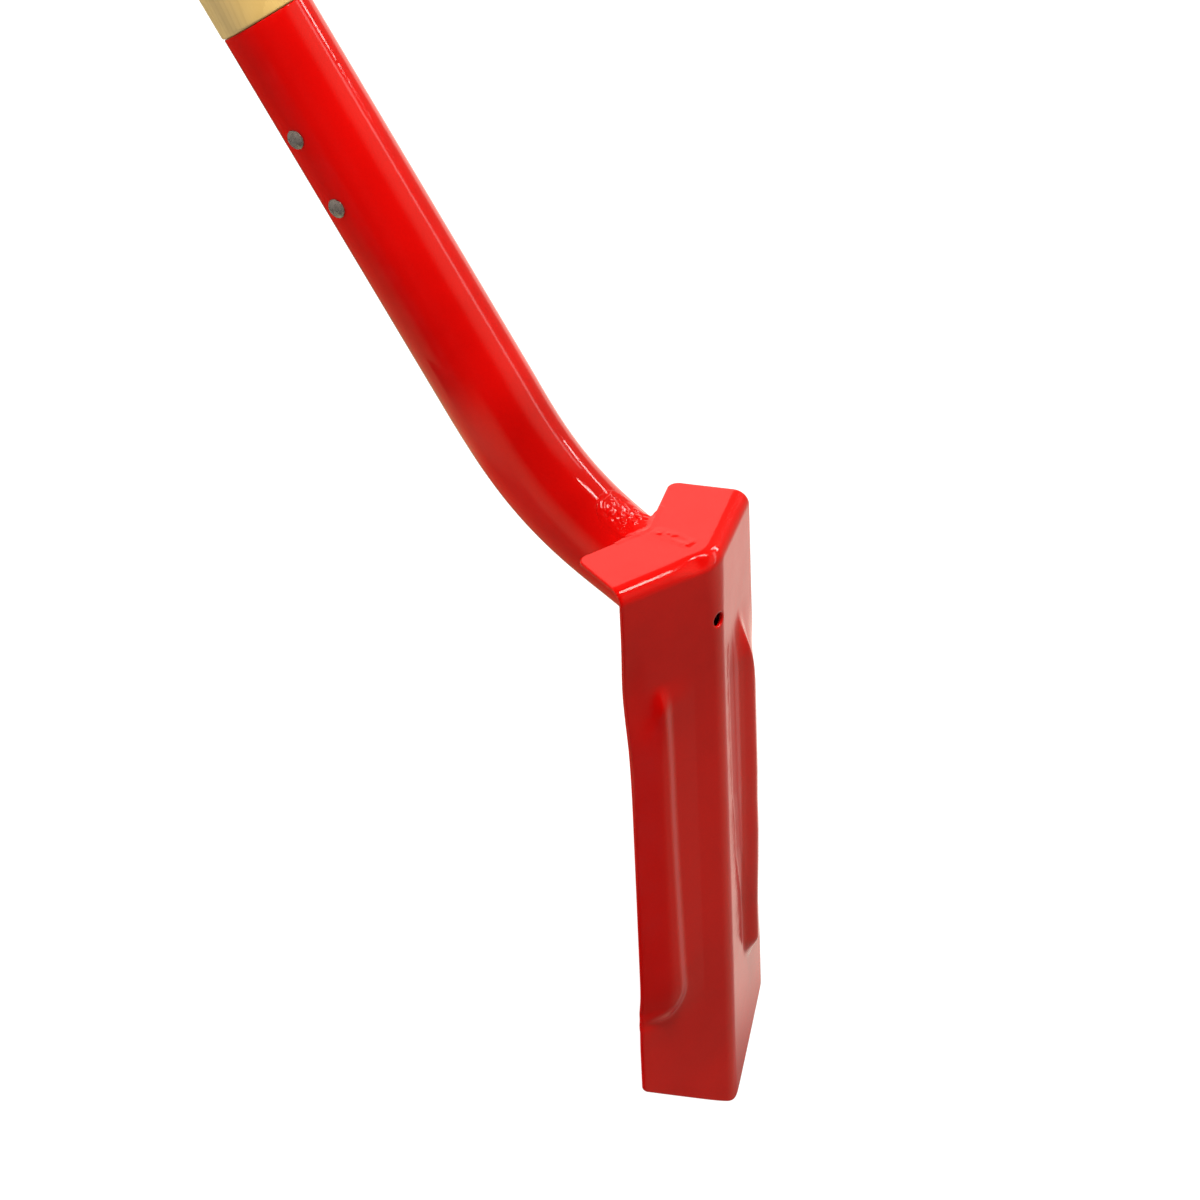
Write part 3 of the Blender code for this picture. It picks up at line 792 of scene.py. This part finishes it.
# ------------------------------------------------------------------ the handle
def make_handle():
    bore_r = TUBE_OD / 2 - TUBE_WALL
    tenon = bore_r - 0.3
    shoulder, grip = SHOULDER_D / 2, GRIP_D / 2
    foot = RIM - TENON_LENGTH
    end = foot + HANDLE_LENGTH - 0.02
    face = RIM + 0.25
    profile = [(foot, 0.5), (foot, tenon - 3.0), (foot + 1.5, tenon - 1.2),
               (foot + 3.0, tenon)]
    profile += [(t, tenon) for t in np.linspace(foot + 8, face - 2, 30)]
    profile += [(face, tenon), (face, shoulder - 1.1)]
    for turn in (25, 50, 70, 90):
        profile.append((face + 1.1 * (1 - math.cos(math.radians(turn))),
                        shoulder - 1.1 + 1.1 * math.sin(math.radians(turn))))
    for t in np.linspace(face + 3.0, end - 14.0, 150):
        share = float(smooth((t - RIM - 30.0) / 330.0))
        swellb = 0.3 * float(smooth((t - (end - 190.0)) / 130.0))
        profile.append((t, shoulder + (grip - shoulder) * share + swellb))
    dome = grip + 0.3
    flat = BUTT_FLAT_D / 2
    for turn in range(82, 0, -9):
        a = math.radians(turn)
        profile.append((end - 7.0 + 7.0 * math.cos(a),
                        flat + (dome - flat) * math.sin(a)))
    profile = ([p for p in profile[:-10]]
               + sorted(profile[-10:], key=lambda p: p[0]))
    profile += [(end, flat), (end, flat * 0.5), (end, 0.5)]
    count = 96
    theta = 2 * math.pi * np.arange(count) / count
    rings = []
    for t, r in profile:
        wave = 0.0
        if t > face and r > flat + 1:
            wave = 0.05 * np.sin(2 * theta + t * 0.011) + 0.04 * math.sin(t * 0.06)
            wave = wave * (1.0 - float(smooth((t - end + 220.0) / 120.0)))
        rings.append(ring(socket_point(t), SOCKET_ANGLE, r + wave, theta))
    points, faces = skin(rings)
    last = (len(rings) - 1) * count
    faces.append(tuple(range(count)))
    faces.append(tuple(range(last, last + count)))
    # the caps are flipped to agree with the skin, whichever way that runs
    faces[-2] = tuple(reversed(faces[-2]))
    faces = outward(points, faces)
    t = (points[:, 1] - AXIS_Y) * math.sin(SOCKET_ANGLE) + points[:, 2] * math.cos(SOCKET_ANGLE)
    handled = smooth((t - end + 420.0) / 200.0) * 0.6 + 0.25 * smooth((t - end + 16.0) / 14.0)
    obj = make("ash_pole", points, faces, ASH, ("handle",), sharp=50,
               attributes={"handled": handled})
    return obj


# ------------------------------------------------------------------ the rivets
def rivet_axes(t):
    along = np.array((0.0, math.sin(SOCKET_ANGLE), math.cos(SOCKET_ANGLE)))
    pin = around(SOCKET_ANGLE, math.pi / 2 - RIVET_ROLL)
    side = np.cross(along, pin)
    return socket_point(t), pin, side, along


def make_rivet(name, node, t):
    centre, pin, side, along = rivet_axes(t)
    seat = TUBE_OD / 2 + 0.05
    shank, head = SHANK_D / 2, HEAD_D / 2
    count = 48
    turn = 2 * math.pi * np.arange(count) / count

    def saddle(radius):
        return np.sqrt(seat * seat - (radius * np.cos(turn)) ** 2)

    half = []
    # seat_shade: per ring, how much painted shade darkens the head's foot where it meets the
    # tube
    seat_shade = []
    for r in (shank, shank + 0.5, (shank + head) / 2, head - 0.2):
        half.append((saddle(r) * 1.0, r))
        seat_shade.append(1.0)
    top = seat + HEAD_H
    for tilt in (0, 10, 22, 34, 46, 58, 70, 80):
        a = math.radians(tilt)
        if tilt == 0:
            out = saddle(head) + 0.25
            out = np.maximum(out, seat - 0.35)
        else:
            rise = seat + 0.25 + (HEAD_H - 0.25) * math.sin(a)
            low = saddle(head) + 0.25
            out = low + (rise - low) * math.sin(a) ** 0.6
        half.append((out, head * math.cos(a) ** 0.9))
        seat_shade.append(max(0.0, 1.0 - tilt / 24.0))

    points, rim = [], []
    rings = []
    for sign, order in ((-1.0, reversed(range(len(half)))), (1.0, range(len(half)))):
        for k in order:
            out, r = half[k]
            place = (centre + np.multiply.outer(sign * out, pin)
                     + np.multiply.outer(r * np.cos(turn), side)
                     + np.multiply.outer(r * np.sin(turn), along))
            rings.append(place)
            rim += [seat_shade[k]] * count
    points, faces = skin(rings)
    last = (len(rings) - 1) * count
    extra = []
    for sign, base in ((-1.0, 0), (1.0, last)):
        crown = len(points) + len(extra)
        extra.append(centre + sign * pin * top)
        rim.append(0.0)
        for i in range(count):
            j = (i + 1) % count
            tri = (base + j, base + i, crown) if base == 0 else (base + i, base + j, crown)
            faces.append(tri)
    points = np.concatenate([points, np.array(extra)])
    faces = outward(points, faces)
    # hammer marks
    away = np.abs((points - centre) @ pin)
    marks = rough(points, 0.40, seed=t, octaves=1) * 0.02 * smooth((away - seat - 0.4) / 1.2)
    points = points + np.multiply.outer(marks * np.sign((points - centre) @ pin), pin)
    # the rim attribute carries the painted shade at the foot of the head
    return make(name, points, faces, STEEL, (node,),
                attributes={"rim": rim})


# ------------------------------------------------------------------ the welds
def tube_height(x, y, extra=0.0):
    """z of the tube's upper surface over a point of the step plane."""
    x = np.abs(np.asarray(x, float))
    y = np.asarray(y, float)
    lines = BEND + [(socket_point(t), SOCKET_ANGLE, TUBE_OD / 2) for t in (60.0, 90.0)]
    lines = sorted(lines, key=lambda s: s[0][1])
    first = lines[0]
    way = np.array((0.0, math.sin(first[1]), math.cos(first[1])))
    lines = [(first[0] - way * 60.0, first[1], first[2])] + lines
    out = np.empty(x.shape)
    for i in np.ndindex(x.shape):
        ys, zs = [], []
        for c, a, r in lines:
            r = r + extra
            rise = math.sqrt(max(r * r - x[i] ** 2, 0.0))
            ys.append(c[1] - math.cos(a) * rise)
            zs.append(c[2] + math.sin(a) * rise)
        out[i] = np.interp(y[i], ys, zs)
    return out


def step_edge(x):
    return np.abs(x) * CA / SA + STEP_DEPTH / SA


def bead_field(x, y):
    """Waves, ripples and the two fine arcs of the weld, in mm."""
    pts = np.stack([x.ravel(), y.ravel(), np.zeros(x.size)], -1)
    coarse = rough(pts, 0.17, seed=3.1, octaves=2).reshape(x.shape)
    fine = rough(pts, 0.55, seed=8.7, octaves=2).reshape(x.shape)
    away = np.hypot(x + 0.5, y - 51.5)
    turn = np.arctan2(x + 0.5, y - 51.5) + 0.45
    arcs = sum(np.exp(-((away - r) / 0.55) ** 2) for r in (6.6, 8.6))
    return 0.21 * coarse + 0.085 * fine + 0.30 * arcs * np.exp(-(turn / 0.55) ** 2)


# (x, y, radius, height) of the puddles' crowns
LUMPS = [(-5.0, 53.6, 1.9, 0.50), (-7.6, 51.6, 1.5, 0.30), (-2.4, 49.8, 1.7, 0.50),
         (0.6, 47.0, 1.6, 0.45), (3.6, 44.8, 1.9, 0.50), (-0.8, 43.6, 1.4, 0.35),
         (-4.2, 47.4, 1.3, 0.25), (0.8, 54.8, 1.8, 0.40), (6.0, 42.6, 1.5, 0.35),
         (3.6, 51.2, 1.5, 0.30), (6.6, 47.6, 1.8, 0.35), (8.8, 44.0, 1.8, 0.30),
         (-5.6, 50.4, 1.2, 0.20), (2.4, 58.4, 1.6, 0.25), (2.0, 49.0, 1.1, 0.30)]


def slab(x, y, top, bottom):
    """A closed patch between two height fields over the same grid."""
    rows_, count = x.shape
    upper = np.stack([x, y, top], -1).reshape(-1, 3)
    lower = np.stack([x, y, bottom], -1).reshape(-1, 3)
    shift = len(upper)
    faces = []
    for j in range(rows_ - 1):
        for i in range(count - 1):
            a, b = j * count + i, j * count + i + 1
            c, d = (j + 1) * count + i + 1, (j + 1) * count + i
            faces.append((a, b, c, d))
            faces.append((d + shift, c + shift, b + shift, a + shift))
    border = ([i for i in range(count - 1)]
              + [j * count + count - 1 for j in range(rows_ - 1)]
              + [(rows_ - 1) * count + i for i in range(count - 1, 0, -1)]
              + [j * count for j in range(rows_ - 1, 0, -1)])
    for a, b in zip(border, border[1:] + border[:1]):
        faces.append((b, a, a + shift, b + shift))
    points = np.concatenate([upper, lower])
    return points, outward(points, faces)


def make_step_weld():
    """Fill between the steps and the tube, with a web out to each side."""
    reach, core = 17.4, 14.6
    lap = 3.2                                   # how far it laps onto the steps
    columns, lines = 140, 120
    grid_x = np.linspace(-reach, reach, columns + 1)
    share = np.linspace(0.0, 1.0, lines + 1)
    bulk = np.clip(np.abs(grid_x) / core, 0.0, 1.0)
    spread = 5.2 + lap + 18.8 * np.cos(bulk * math.pi / 2) ** 0.75
    x = np.repeat(grid_x[None, :], lines + 1, 0)
    behind = -lap + spread[None, :] * share[:, None]     # way behind the edge
    y = step_edge(x) + behind
    under = tube_height(x, y)
    # level with the steps at first, then running out along the tube
    run = np.maximum((spread - lap)[None, :], 1.0)
    far = np.clip(behind / run, 0.0, 1.0)
    bridge = under * (1 - (1 - far) ** 3)
    body = np.logaddexp(under * 2.2, bridge * 2.2) / 2.2
    body = np.where(under > 8.0, under, body)
    body = np.where(behind < 0.0, 0.0, body)
    # the web beside the tube falls away behind the edge of the step
    wide = np.interp(np.abs(x), (10.5, 12.5, 14.5, 15.5), (1.4, 0.8, 0.2, 0.0))
    past = np.maximum(behind - wide, 0.0)
    web = -0.08 * np.maximum(behind, 0.0) ** 1.5 - 1.6 * past ** 1.35
    outer = smooth((np.abs(x) - 8.5) / 3.5)
    body = body * (1 - outer) + np.maximum(web, under - 0.4) * outer
    side = smooth((core - np.abs(x)) / 4.0)
    fade = smooth((behind + 1.0) / 3.5) * smooth((1.0 - share[:, None]) / 0.12) * side
    bumps = bead_field(x, y)
    for cx, cy, radius, high in LUMPS:
        d = np.hypot(x - cx, y - cy) / radius
        bumps = bumps + high * np.clip(1 - d * d, 0, 1) ** 1.5
    # a pocket along the back of the left step
    pocket = np.exp(-((behind - 3.0) / 2.4) ** 2) * smooth((-x - 5.0) / 4.0)
    bumps = bumps * (1.0 - 0.6 * pocket) - 0.45 * pocket
    top = body + fade * (0.15 + bumps)
    # laps onto the steps with a feather edge
    top = top + np.where(behind < 1.5, 0.10 * smooth((behind + lap) / 3.0) - 0.02,
                         0.08)
    rim = smooth((1.0 - share[:, None]) / 0.05)
    top = np.where(np.abs(x) < 11.0,
                   np.maximum(top, np.where(behind > 0.5,
                                            under - 0.25 + 0.3 * side * rim, -9.0)),
                   top)
    bottom = np.minimum(np.where(behind < 0.0, 0.0, under), top) - 0.45
    bottom = np.maximum(bottom, top - 6.0)
    points, faces = slab(x, y, top, bottom)
    return make("step_weld_bead", points, faces, ENAMEL_WELD,
                ("step_weld",), attributes={"worn": np.zeros(len(points))})


def make_seam_weld():
    """Low, ground seam on the mitre of the steps."""
    ys = np.linspace(12.4, STEP_DEPTH / SA - 0.6, 100)
    xs = np.linspace(-7.4, 7.4, 61)
    x, y = np.meshgrid(xs, ys)
    ground = np.zeros_like(x)
    s = (y - 12.4) / (ys[-1] - 12.4)
    width = 4.6 + 2.2 * np.sin(math.pi * np.clip(s, 0, 1)) ** 0.6
    shape = np.clip(1 - (x / width) ** 2, 0, 1) ** 2.4
    ends = smooth(s / 0.16) * smooth((1 - s) / 0.16)
    pts = np.stack([x.ravel(), y.ravel(), np.zeros(x.size)], -1)
    lump = rough(pts, 0.30, seed=21.0, octaves=2).reshape(x.shape)
    high = 0.20 + 0.07 * lump
    for cx, cy, rx, ry, deep in ((0.4, 21.3, 2.1, 5.4, -0.17), (-1.6, 15.6, 1.0, 1.2, 0.20),
                                 (1.9, 13.4, 0.8, 0.9, 0.25), (-0.4, 11.4, 1.3, 1.3, -0.16),
                                 (1.2, 27.5, 1.0, 1.6, 0.14), (-1.0, 31.0, 1.4, 1.8, 0.16)):
        d = np.hypot((x - cx) / rx, (y - cy) / ry)
        high = high + deep * np.clip(1 - d * d, 0, 1) ** 1.5
    top = ground + shape * ends * np.maximum(high, 0.02) - 0.03
    bottom = ground - 0.5
    points, faces = slab(x, y, top, bottom)
    return make("seam_weld_bead", points, faces, ENAMEL_WELD,
                ("seam_weld",), attributes={"worn": np.zeros(len(points))})


def make_neck_weld():
    """Fillet round the coped end of the tube, on the hollow side."""
    offset = SHEET + 0.1
    base = NECK_R - 0.1
    opening = math.radians(52.0)
    steps, arc = 260, 12
    rings = []
    theta = opening + (2 * math.pi - 2 * opening) * np.arange(steps + 1) / steps
    for i, th in enumerate(theta):
        s = i / steps
        ends = min(1.0, math.sin(math.pi * s) * 6.0 + 0.12)
        ripple = 1.0 + 0.055 * math.sin(i * 1.5) + 0.05 * math.sin(i * 0.23 + 1.0)
        leg = 5.0 * ends * ripple
        line = [on_neck(th, base, -0.2, offset)[0]]
        for k in range(arc + 1):
            a = k / arc
            # slightly convex fillet from the tube wall out to the sheet
            away = leg * a
            up = leg * (1 - a)
            belly = 0.20 * leg * math.sin(math.pi * a)
            line.append(on_neck(th, base + away + belly * 0.7, up + belly * 0.7,
                                offset)[0])
        line.append(on_neck(th, base + leg, -0.2, offset)[0])
        rings.append(line)
    points, faces = skin(rings)
    n = len(rings[0])
    faces.append(tuple(range(n)))
    last = (len(rings) - 1) * n
    faces.append(tuple(range(last + n - 1, last - 1, -1)))
    faces = outward(points, faces)
    return make("neck_weld_bead", points, faces, ENAMEL_WELD,
                ("neck_weld",), sharp=60,
                attributes={"worn": np.zeros(len(points))})


make_blade()
tube = make_tube()
pole = make_handle()
for shown, node, t in RIVETS:
    make_rivet(shown, node, t)
    centre, pin, side, along = rivet_axes(t)
    for target in (tube, pole):
        bore(target, row(centre), TO_ROW @ pin, RIVET_HOLE_D / 2 * MM, 0.060)
make_step_weld()
make_seam_weld()
make_neck_weld()


# ------------------------------------------------------------------ the stage
def plane(name, size, z):
    mesh = bpy.data.meshes.new(name)
    s = size / 2
    mesh.from_pydata([(-s, -s, z), (s, -s, z), (s, s, z), (-s, s, z)], [],
                     [(0, 1, 2, 3)])
    obj = bpy.data.objects.new(name, mesh)
    bpy.context.scene.collection.objects.link(obj)
    return obj


floor = plane("floor", 30.0, -0.0002)
pale = bpy.data.materials.new("floor_pale")
pale.use_nodes = True
p = pale.node_tree.nodes["Principled BSDF"]
p.inputs["Base Color"].default_value = (0.2, 0.2, 0.2, 1.0)
p.inputs["Emission Color"].default_value = (1.0, 1.0, 1.0, 1.0)
p.inputs["Emission Strength"].default_value = 1.0
p.inputs["Roughness"].default_value = 1.0
p.inputs["Specular IOR Level"].default_value = 0.0
floor.data.materials.append(pale)


def area(name, place, target, width, height, radiance, glossy=True,
         colour=(1, 1, 1), along=None):
    """A softbox given by the brightness of its face and its long side."""
    data = bpy.data.lights.new(name, "AREA")
    data.shape = "RECTANGLE"
    data.size, data.size_y = width, height
    data.energy = radiance * width * height * math.pi
    data.color = colour
    obj = bpy.data.objects.new(name, data)
    bpy.context.scene.collection.objects.link(obj)
    obj.location = place
    way = Vector(target) - Vector(place)
    if along is None:
        obj.rotation_euler = way.to_track_quat("-Z", "Y").to_euler()
    else:
        z = -way.normalized()
        x = Vector(along)
        x = (x - z * x.dot(z)).normalized()
        obj.rotation_euler = Matrix((x, z.cross(x), z)).transposed().to_euler()
    obj.visible_camera = False
    obj.visible_glossy = glossy
    return obj


NECK = (-0.52, 0.0, 0.115)
area("key", (1.45, 0.05, 1.98), NECK, 0.25, 0.5, 222.0, glossy=False,
     colour=(1.0, 0.94, 0.82))
area("edge_lamp", (0.62, -0.70, 1.86), NECK, 0.42, 0.12, 8.0, along=(0.44, 0.53, -0.09))
area("side_strip", (0.25, -2.2, 1.3), NECK, 1.3, 0.18, 12.0, along=(1.0, 0.0, 0.0))
area("fold_lamp", (0.43, -0.61, 1.64), (-0.557, 0.035, 0.152), 0.50, 0.09, 20.0,
     colour=(1.0, 0.93, 0.84), along=(-0.76, 0.32, 0.57))
area("glint", (1.45, 0.05, 1.98), NECK, 0.25, 0.5, 24.0, colour=(1.0, 0.90, 0.70))
area("strip_near", (-0.9, -2.0, 2.1), (-0.4, 0.0, 0.1), 2.6, 0.30, 1.8)
area("fill", (-0.2, 3.0, 2.2), (-0.4, 0.0, 0.1), 2.4, 1.6, 0.72, glossy=False)
area("low_fill", (-1.22, 0.30, 0.34), (-0.77, 0.0, 0.05), 0.3, 0.3, 1.8, glossy=False)


def stage_piece(name, points, faces, shadow=False, glossy=True):
    """Something that lights, shades or is mirrored, but is not itself shown."""
    mesh = bpy.data.meshes.new(name)
    mesh.from_pydata(points, [], faces)
    obj = bpy.data.objects.new(name, mesh)
    bpy.context.scene.collection.objects.link(obj)
    obj.visible_camera = obj.visible_diffuse = False
    obj.visible_transmission = obj.visible_volume_scatter = False
    obj.visible_shadow, obj.visible_glossy = shadow, glossy
    mat = bpy.data.materials.new(name)
    n = Nodes(mat)
    n.shader.inputs["Base Color"].default_value = (0.0, 0.0, 0.0, 1.0)
    n.shader.inputs["Specular IOR Level"].default_value = 0.0
    mesh.materials.append(mat)
    return obj, n


# the bright table behind the tool, seen only in its reflections; the floor
# itself stays out of them
floor.visible_glossy = False
card, n = stage_piece("card", [(-2.6, -0.008, 0.0), (-2.6, -3.0, 0.0),
                               (-0.62, -3.0, 0.0), (3.0, -3.0, 0.0),
                               (3.0, -0.04, 0.0), (-0.62, -0.04, 0.0),
                               (-0.62, -0.008, 0.0)],
                      [(0, 1, 2, 6), (5, 2, 3, 4)])
card.location.z = -0.0001
n.shader.inputs["Emission Color"].default_value = (1.0, 0.79, 0.68, 1.0)
parts = n.add("ShaderNodeSeparateXYZ")
n.link(n.coords(), parts.inputs["Vector"])
fan = n.math("DIVIDE", n.math("ADD", parts.outputs["X"], 0.83),
             n.math("MAXIMUM", n.math("MULTIPLY", parts.outputs["Y"], -1.0), 0.04))
fan = n.math("MULTIPLY", n.span(fan, -0.45, 0.12, 0.58, 1.30),
             n.span(parts.outputs["Y"], -0.085, -0.012, 1.0, 0.30))
n.link(fan, n.shader.inputs["Emission Strength"])

# what the near side of the neck mirrors: the table's dimmer near part and the
# side of a low box that stands on it
near, n = stage_piece("near_table", [(-0.62, -0.04, 0.0), (0.6, -0.04, 0.0),
                                     (0.6, 0.5, 0.0), (-0.62, 0.5, 0.0)],
                      [(0, 1, 2, 3)])
n.shader.inputs["Emission Color"].default_value = (0.9, 1.0, 0.55, 1.0)
parts = n.add("ShaderNodeSeparateXYZ")
n.link(n.coords(), parts.inputs["Vector"])
fall = n.math("MINIMUM", n.span(parts.outputs["X"], -0.49, -0.36, 0.42, 0.0),
              n.span(parts.outputs["X"], -0.515, -0.495, 0.15, 0.42))
fall = n.math("ADD", fall, 0.05)
n.link(n.math("MULTIPLY", fall, n.span(parts.outputs["Y"], 0.02, 0.30, 1.0, 0.0)),
       n.shader.inputs["Emission Strength"])
near.location.z = -0.0001
box, n = stage_piece("box_side", [(-0.72, 0.08, 0.0), (-0.452, 0.08, 0.0),
                                  (-0.452, 0.08, 0.152), (-0.72, 0.08, 0.152)],
                     [(0, 1, 2, 3)])
n.shader.inputs["Emission Color"].default_value = (0.7, 1.0, 0.62, 1.0)
parts = n.add("ShaderNodeSeparateXYZ")
n.link(n.coords(), parts.inputs["Vector"])
pane = n.span(parts.outputs["Z"], 0.078, 0.100, 0.18, 0.46)
corner_ = n.span(parts.outputs["X"], -0.530, -0.492, 0.0, 1.0)
pane = n.math("MAXIMUM", pane, n.math("MULTIPLY", corner_, 0.46))
pane = n.math("MULTIPLY", pane, n.span(parts.outputs["X"], -0.492, -0.455, 1.0, 0.05))
n.link(n.math("MULTIPLY", pane, n.span(parts.outputs["Z"], 0.108, 0.150, 1.0, 0.0)),
       n.shader.inputs["Emission Strength"])

# a net that takes a third of the key off the neck, but not off the steps
toward = Vector((0.725, 0.018, 0.688)).normalized()
up_ = Vector((-0.688, 0.0, 0.725)).normalized()
out_ = toward.cross(up_)
mid_ = up_ * 0.4285 + toward * (Vector(NECK).dot(toward) + 0.12)
net, n = stage_piece("net", [tuple(mid_ + up_ * a + Vector((0.0, b, 0.0)))
                             for a, b in ((-0.0275, -0.030), (0.0275, -0.030),
                                          (0.0275, 0.050), (-0.0275, 0.050))],
                     [(0, 1, 2, 3)], shadow=True, glossy=False)
gauze = n.add("ShaderNodeBsdfTransparent")
both = n.add("ShaderNodeMixShader")
both.inputs["Fac"].default_value = 0.62
n.link(n.shader.outputs["BSDF"], both.inputs[1])
n.link(gauze.outputs["BSDF"], both.inputs[2])
n.link(both.outputs["Shader"], n.tree.nodes["Material Output"].inputs["Surface"])

world = bpy.data.worlds.new("studio")
bpy.context.scene.world = world
world.use_nodes = True
tree = world.node_tree
sky = tree.nodes["Background"]
direction = tree.nodes.new("ShaderNodeTexCoord").outputs["Generated"]


def sky_part(way, low, high, dark, bright):
    """Brightness that rises towards one side of the room."""
    slope = tree.nodes.new("ShaderNodeVectorMath")
    slope.operation = "DOT_PRODUCT"
    slope.inputs[1].default_value = way
    tree.links.new(direction, slope.inputs[0])
    shade = tree.nodes.new("ShaderNodeMapRange")
    shade.interpolation_type = "SMOOTHSTEP"
    for name, value in zip(("From Min", "From Max", "To Min", "To Max"),
                           (low, high, dark, bright)):
        shade.inputs[name].default_value = value
    tree.links.new(slope.outputs["Value"], shade.inputs["Value"])
    return shade.outputs["Result"]


def sky_math(kind, a, b):
    node = tree.nodes.new("ShaderNodeMath")
    node.operation = kind
    tree.links.new(a, node.inputs[0])
    tree.links.new(b, node.inputs[1])
    return node.outputs[0]


room = sky_math("ADD", sky_part((-0.35, -0.85, 0.0), -0.15, 0.55, 0.012, 0.25),
                sky_part((-0.6, -0.6, -0.5), 0.45, 0.85, 0.0, 0.16))
room = sky_math("ADD", room, sky_part((-0.12, -0.49, 0.863), 0.86, 0.99, 0.0, 0.32))
tree.links.new(room, sky.inputs["Strength"])
sky.inputs["Color"].default_value = (1.0, 0.97, 0.72, 1.0)

# ------------------------------------------------------------------ the camera
VIEW = np.array(((0.587672460936509, -0.8081999159880976, -0.03813101695024074),
                 (-0.4781348618314657, -0.3088791631116018, -0.8221804646772399),
                 (0.6527083058750156, 0.5014045855317926, -0.5679483330809756)))
EYE = np.array((-1453.4640423140395, -1051.5567885991484, 1216.7595383042099))
camera_data = bpy.data.cameras.new("camera")
camera_data.lens = 152.88
camera_data.sensor_width = 36.0
camera_data.clip_start, camera_data.clip_end = 0.05, 60.0
camera = bpy.data.objects.new("camera", camera_data)
bpy.context.scene.collection.objects.link(camera)
axes = TO_ROW @ np.stack([VIEW[0], -VIEW[1], -VIEW[2]], -1)
pose = Matrix([list(axes[i]) + [0.0] for i in range(3)] + [[0, 0, 0, 1]])
pose.translation = Vector(row(EYE))
camera.matrix_world = pose
bpy.context.scene.camera = camera
bpy.context.scene.view_settings.view_transform = "Standard"
bpy.context.scene.view_settings.look = "None"
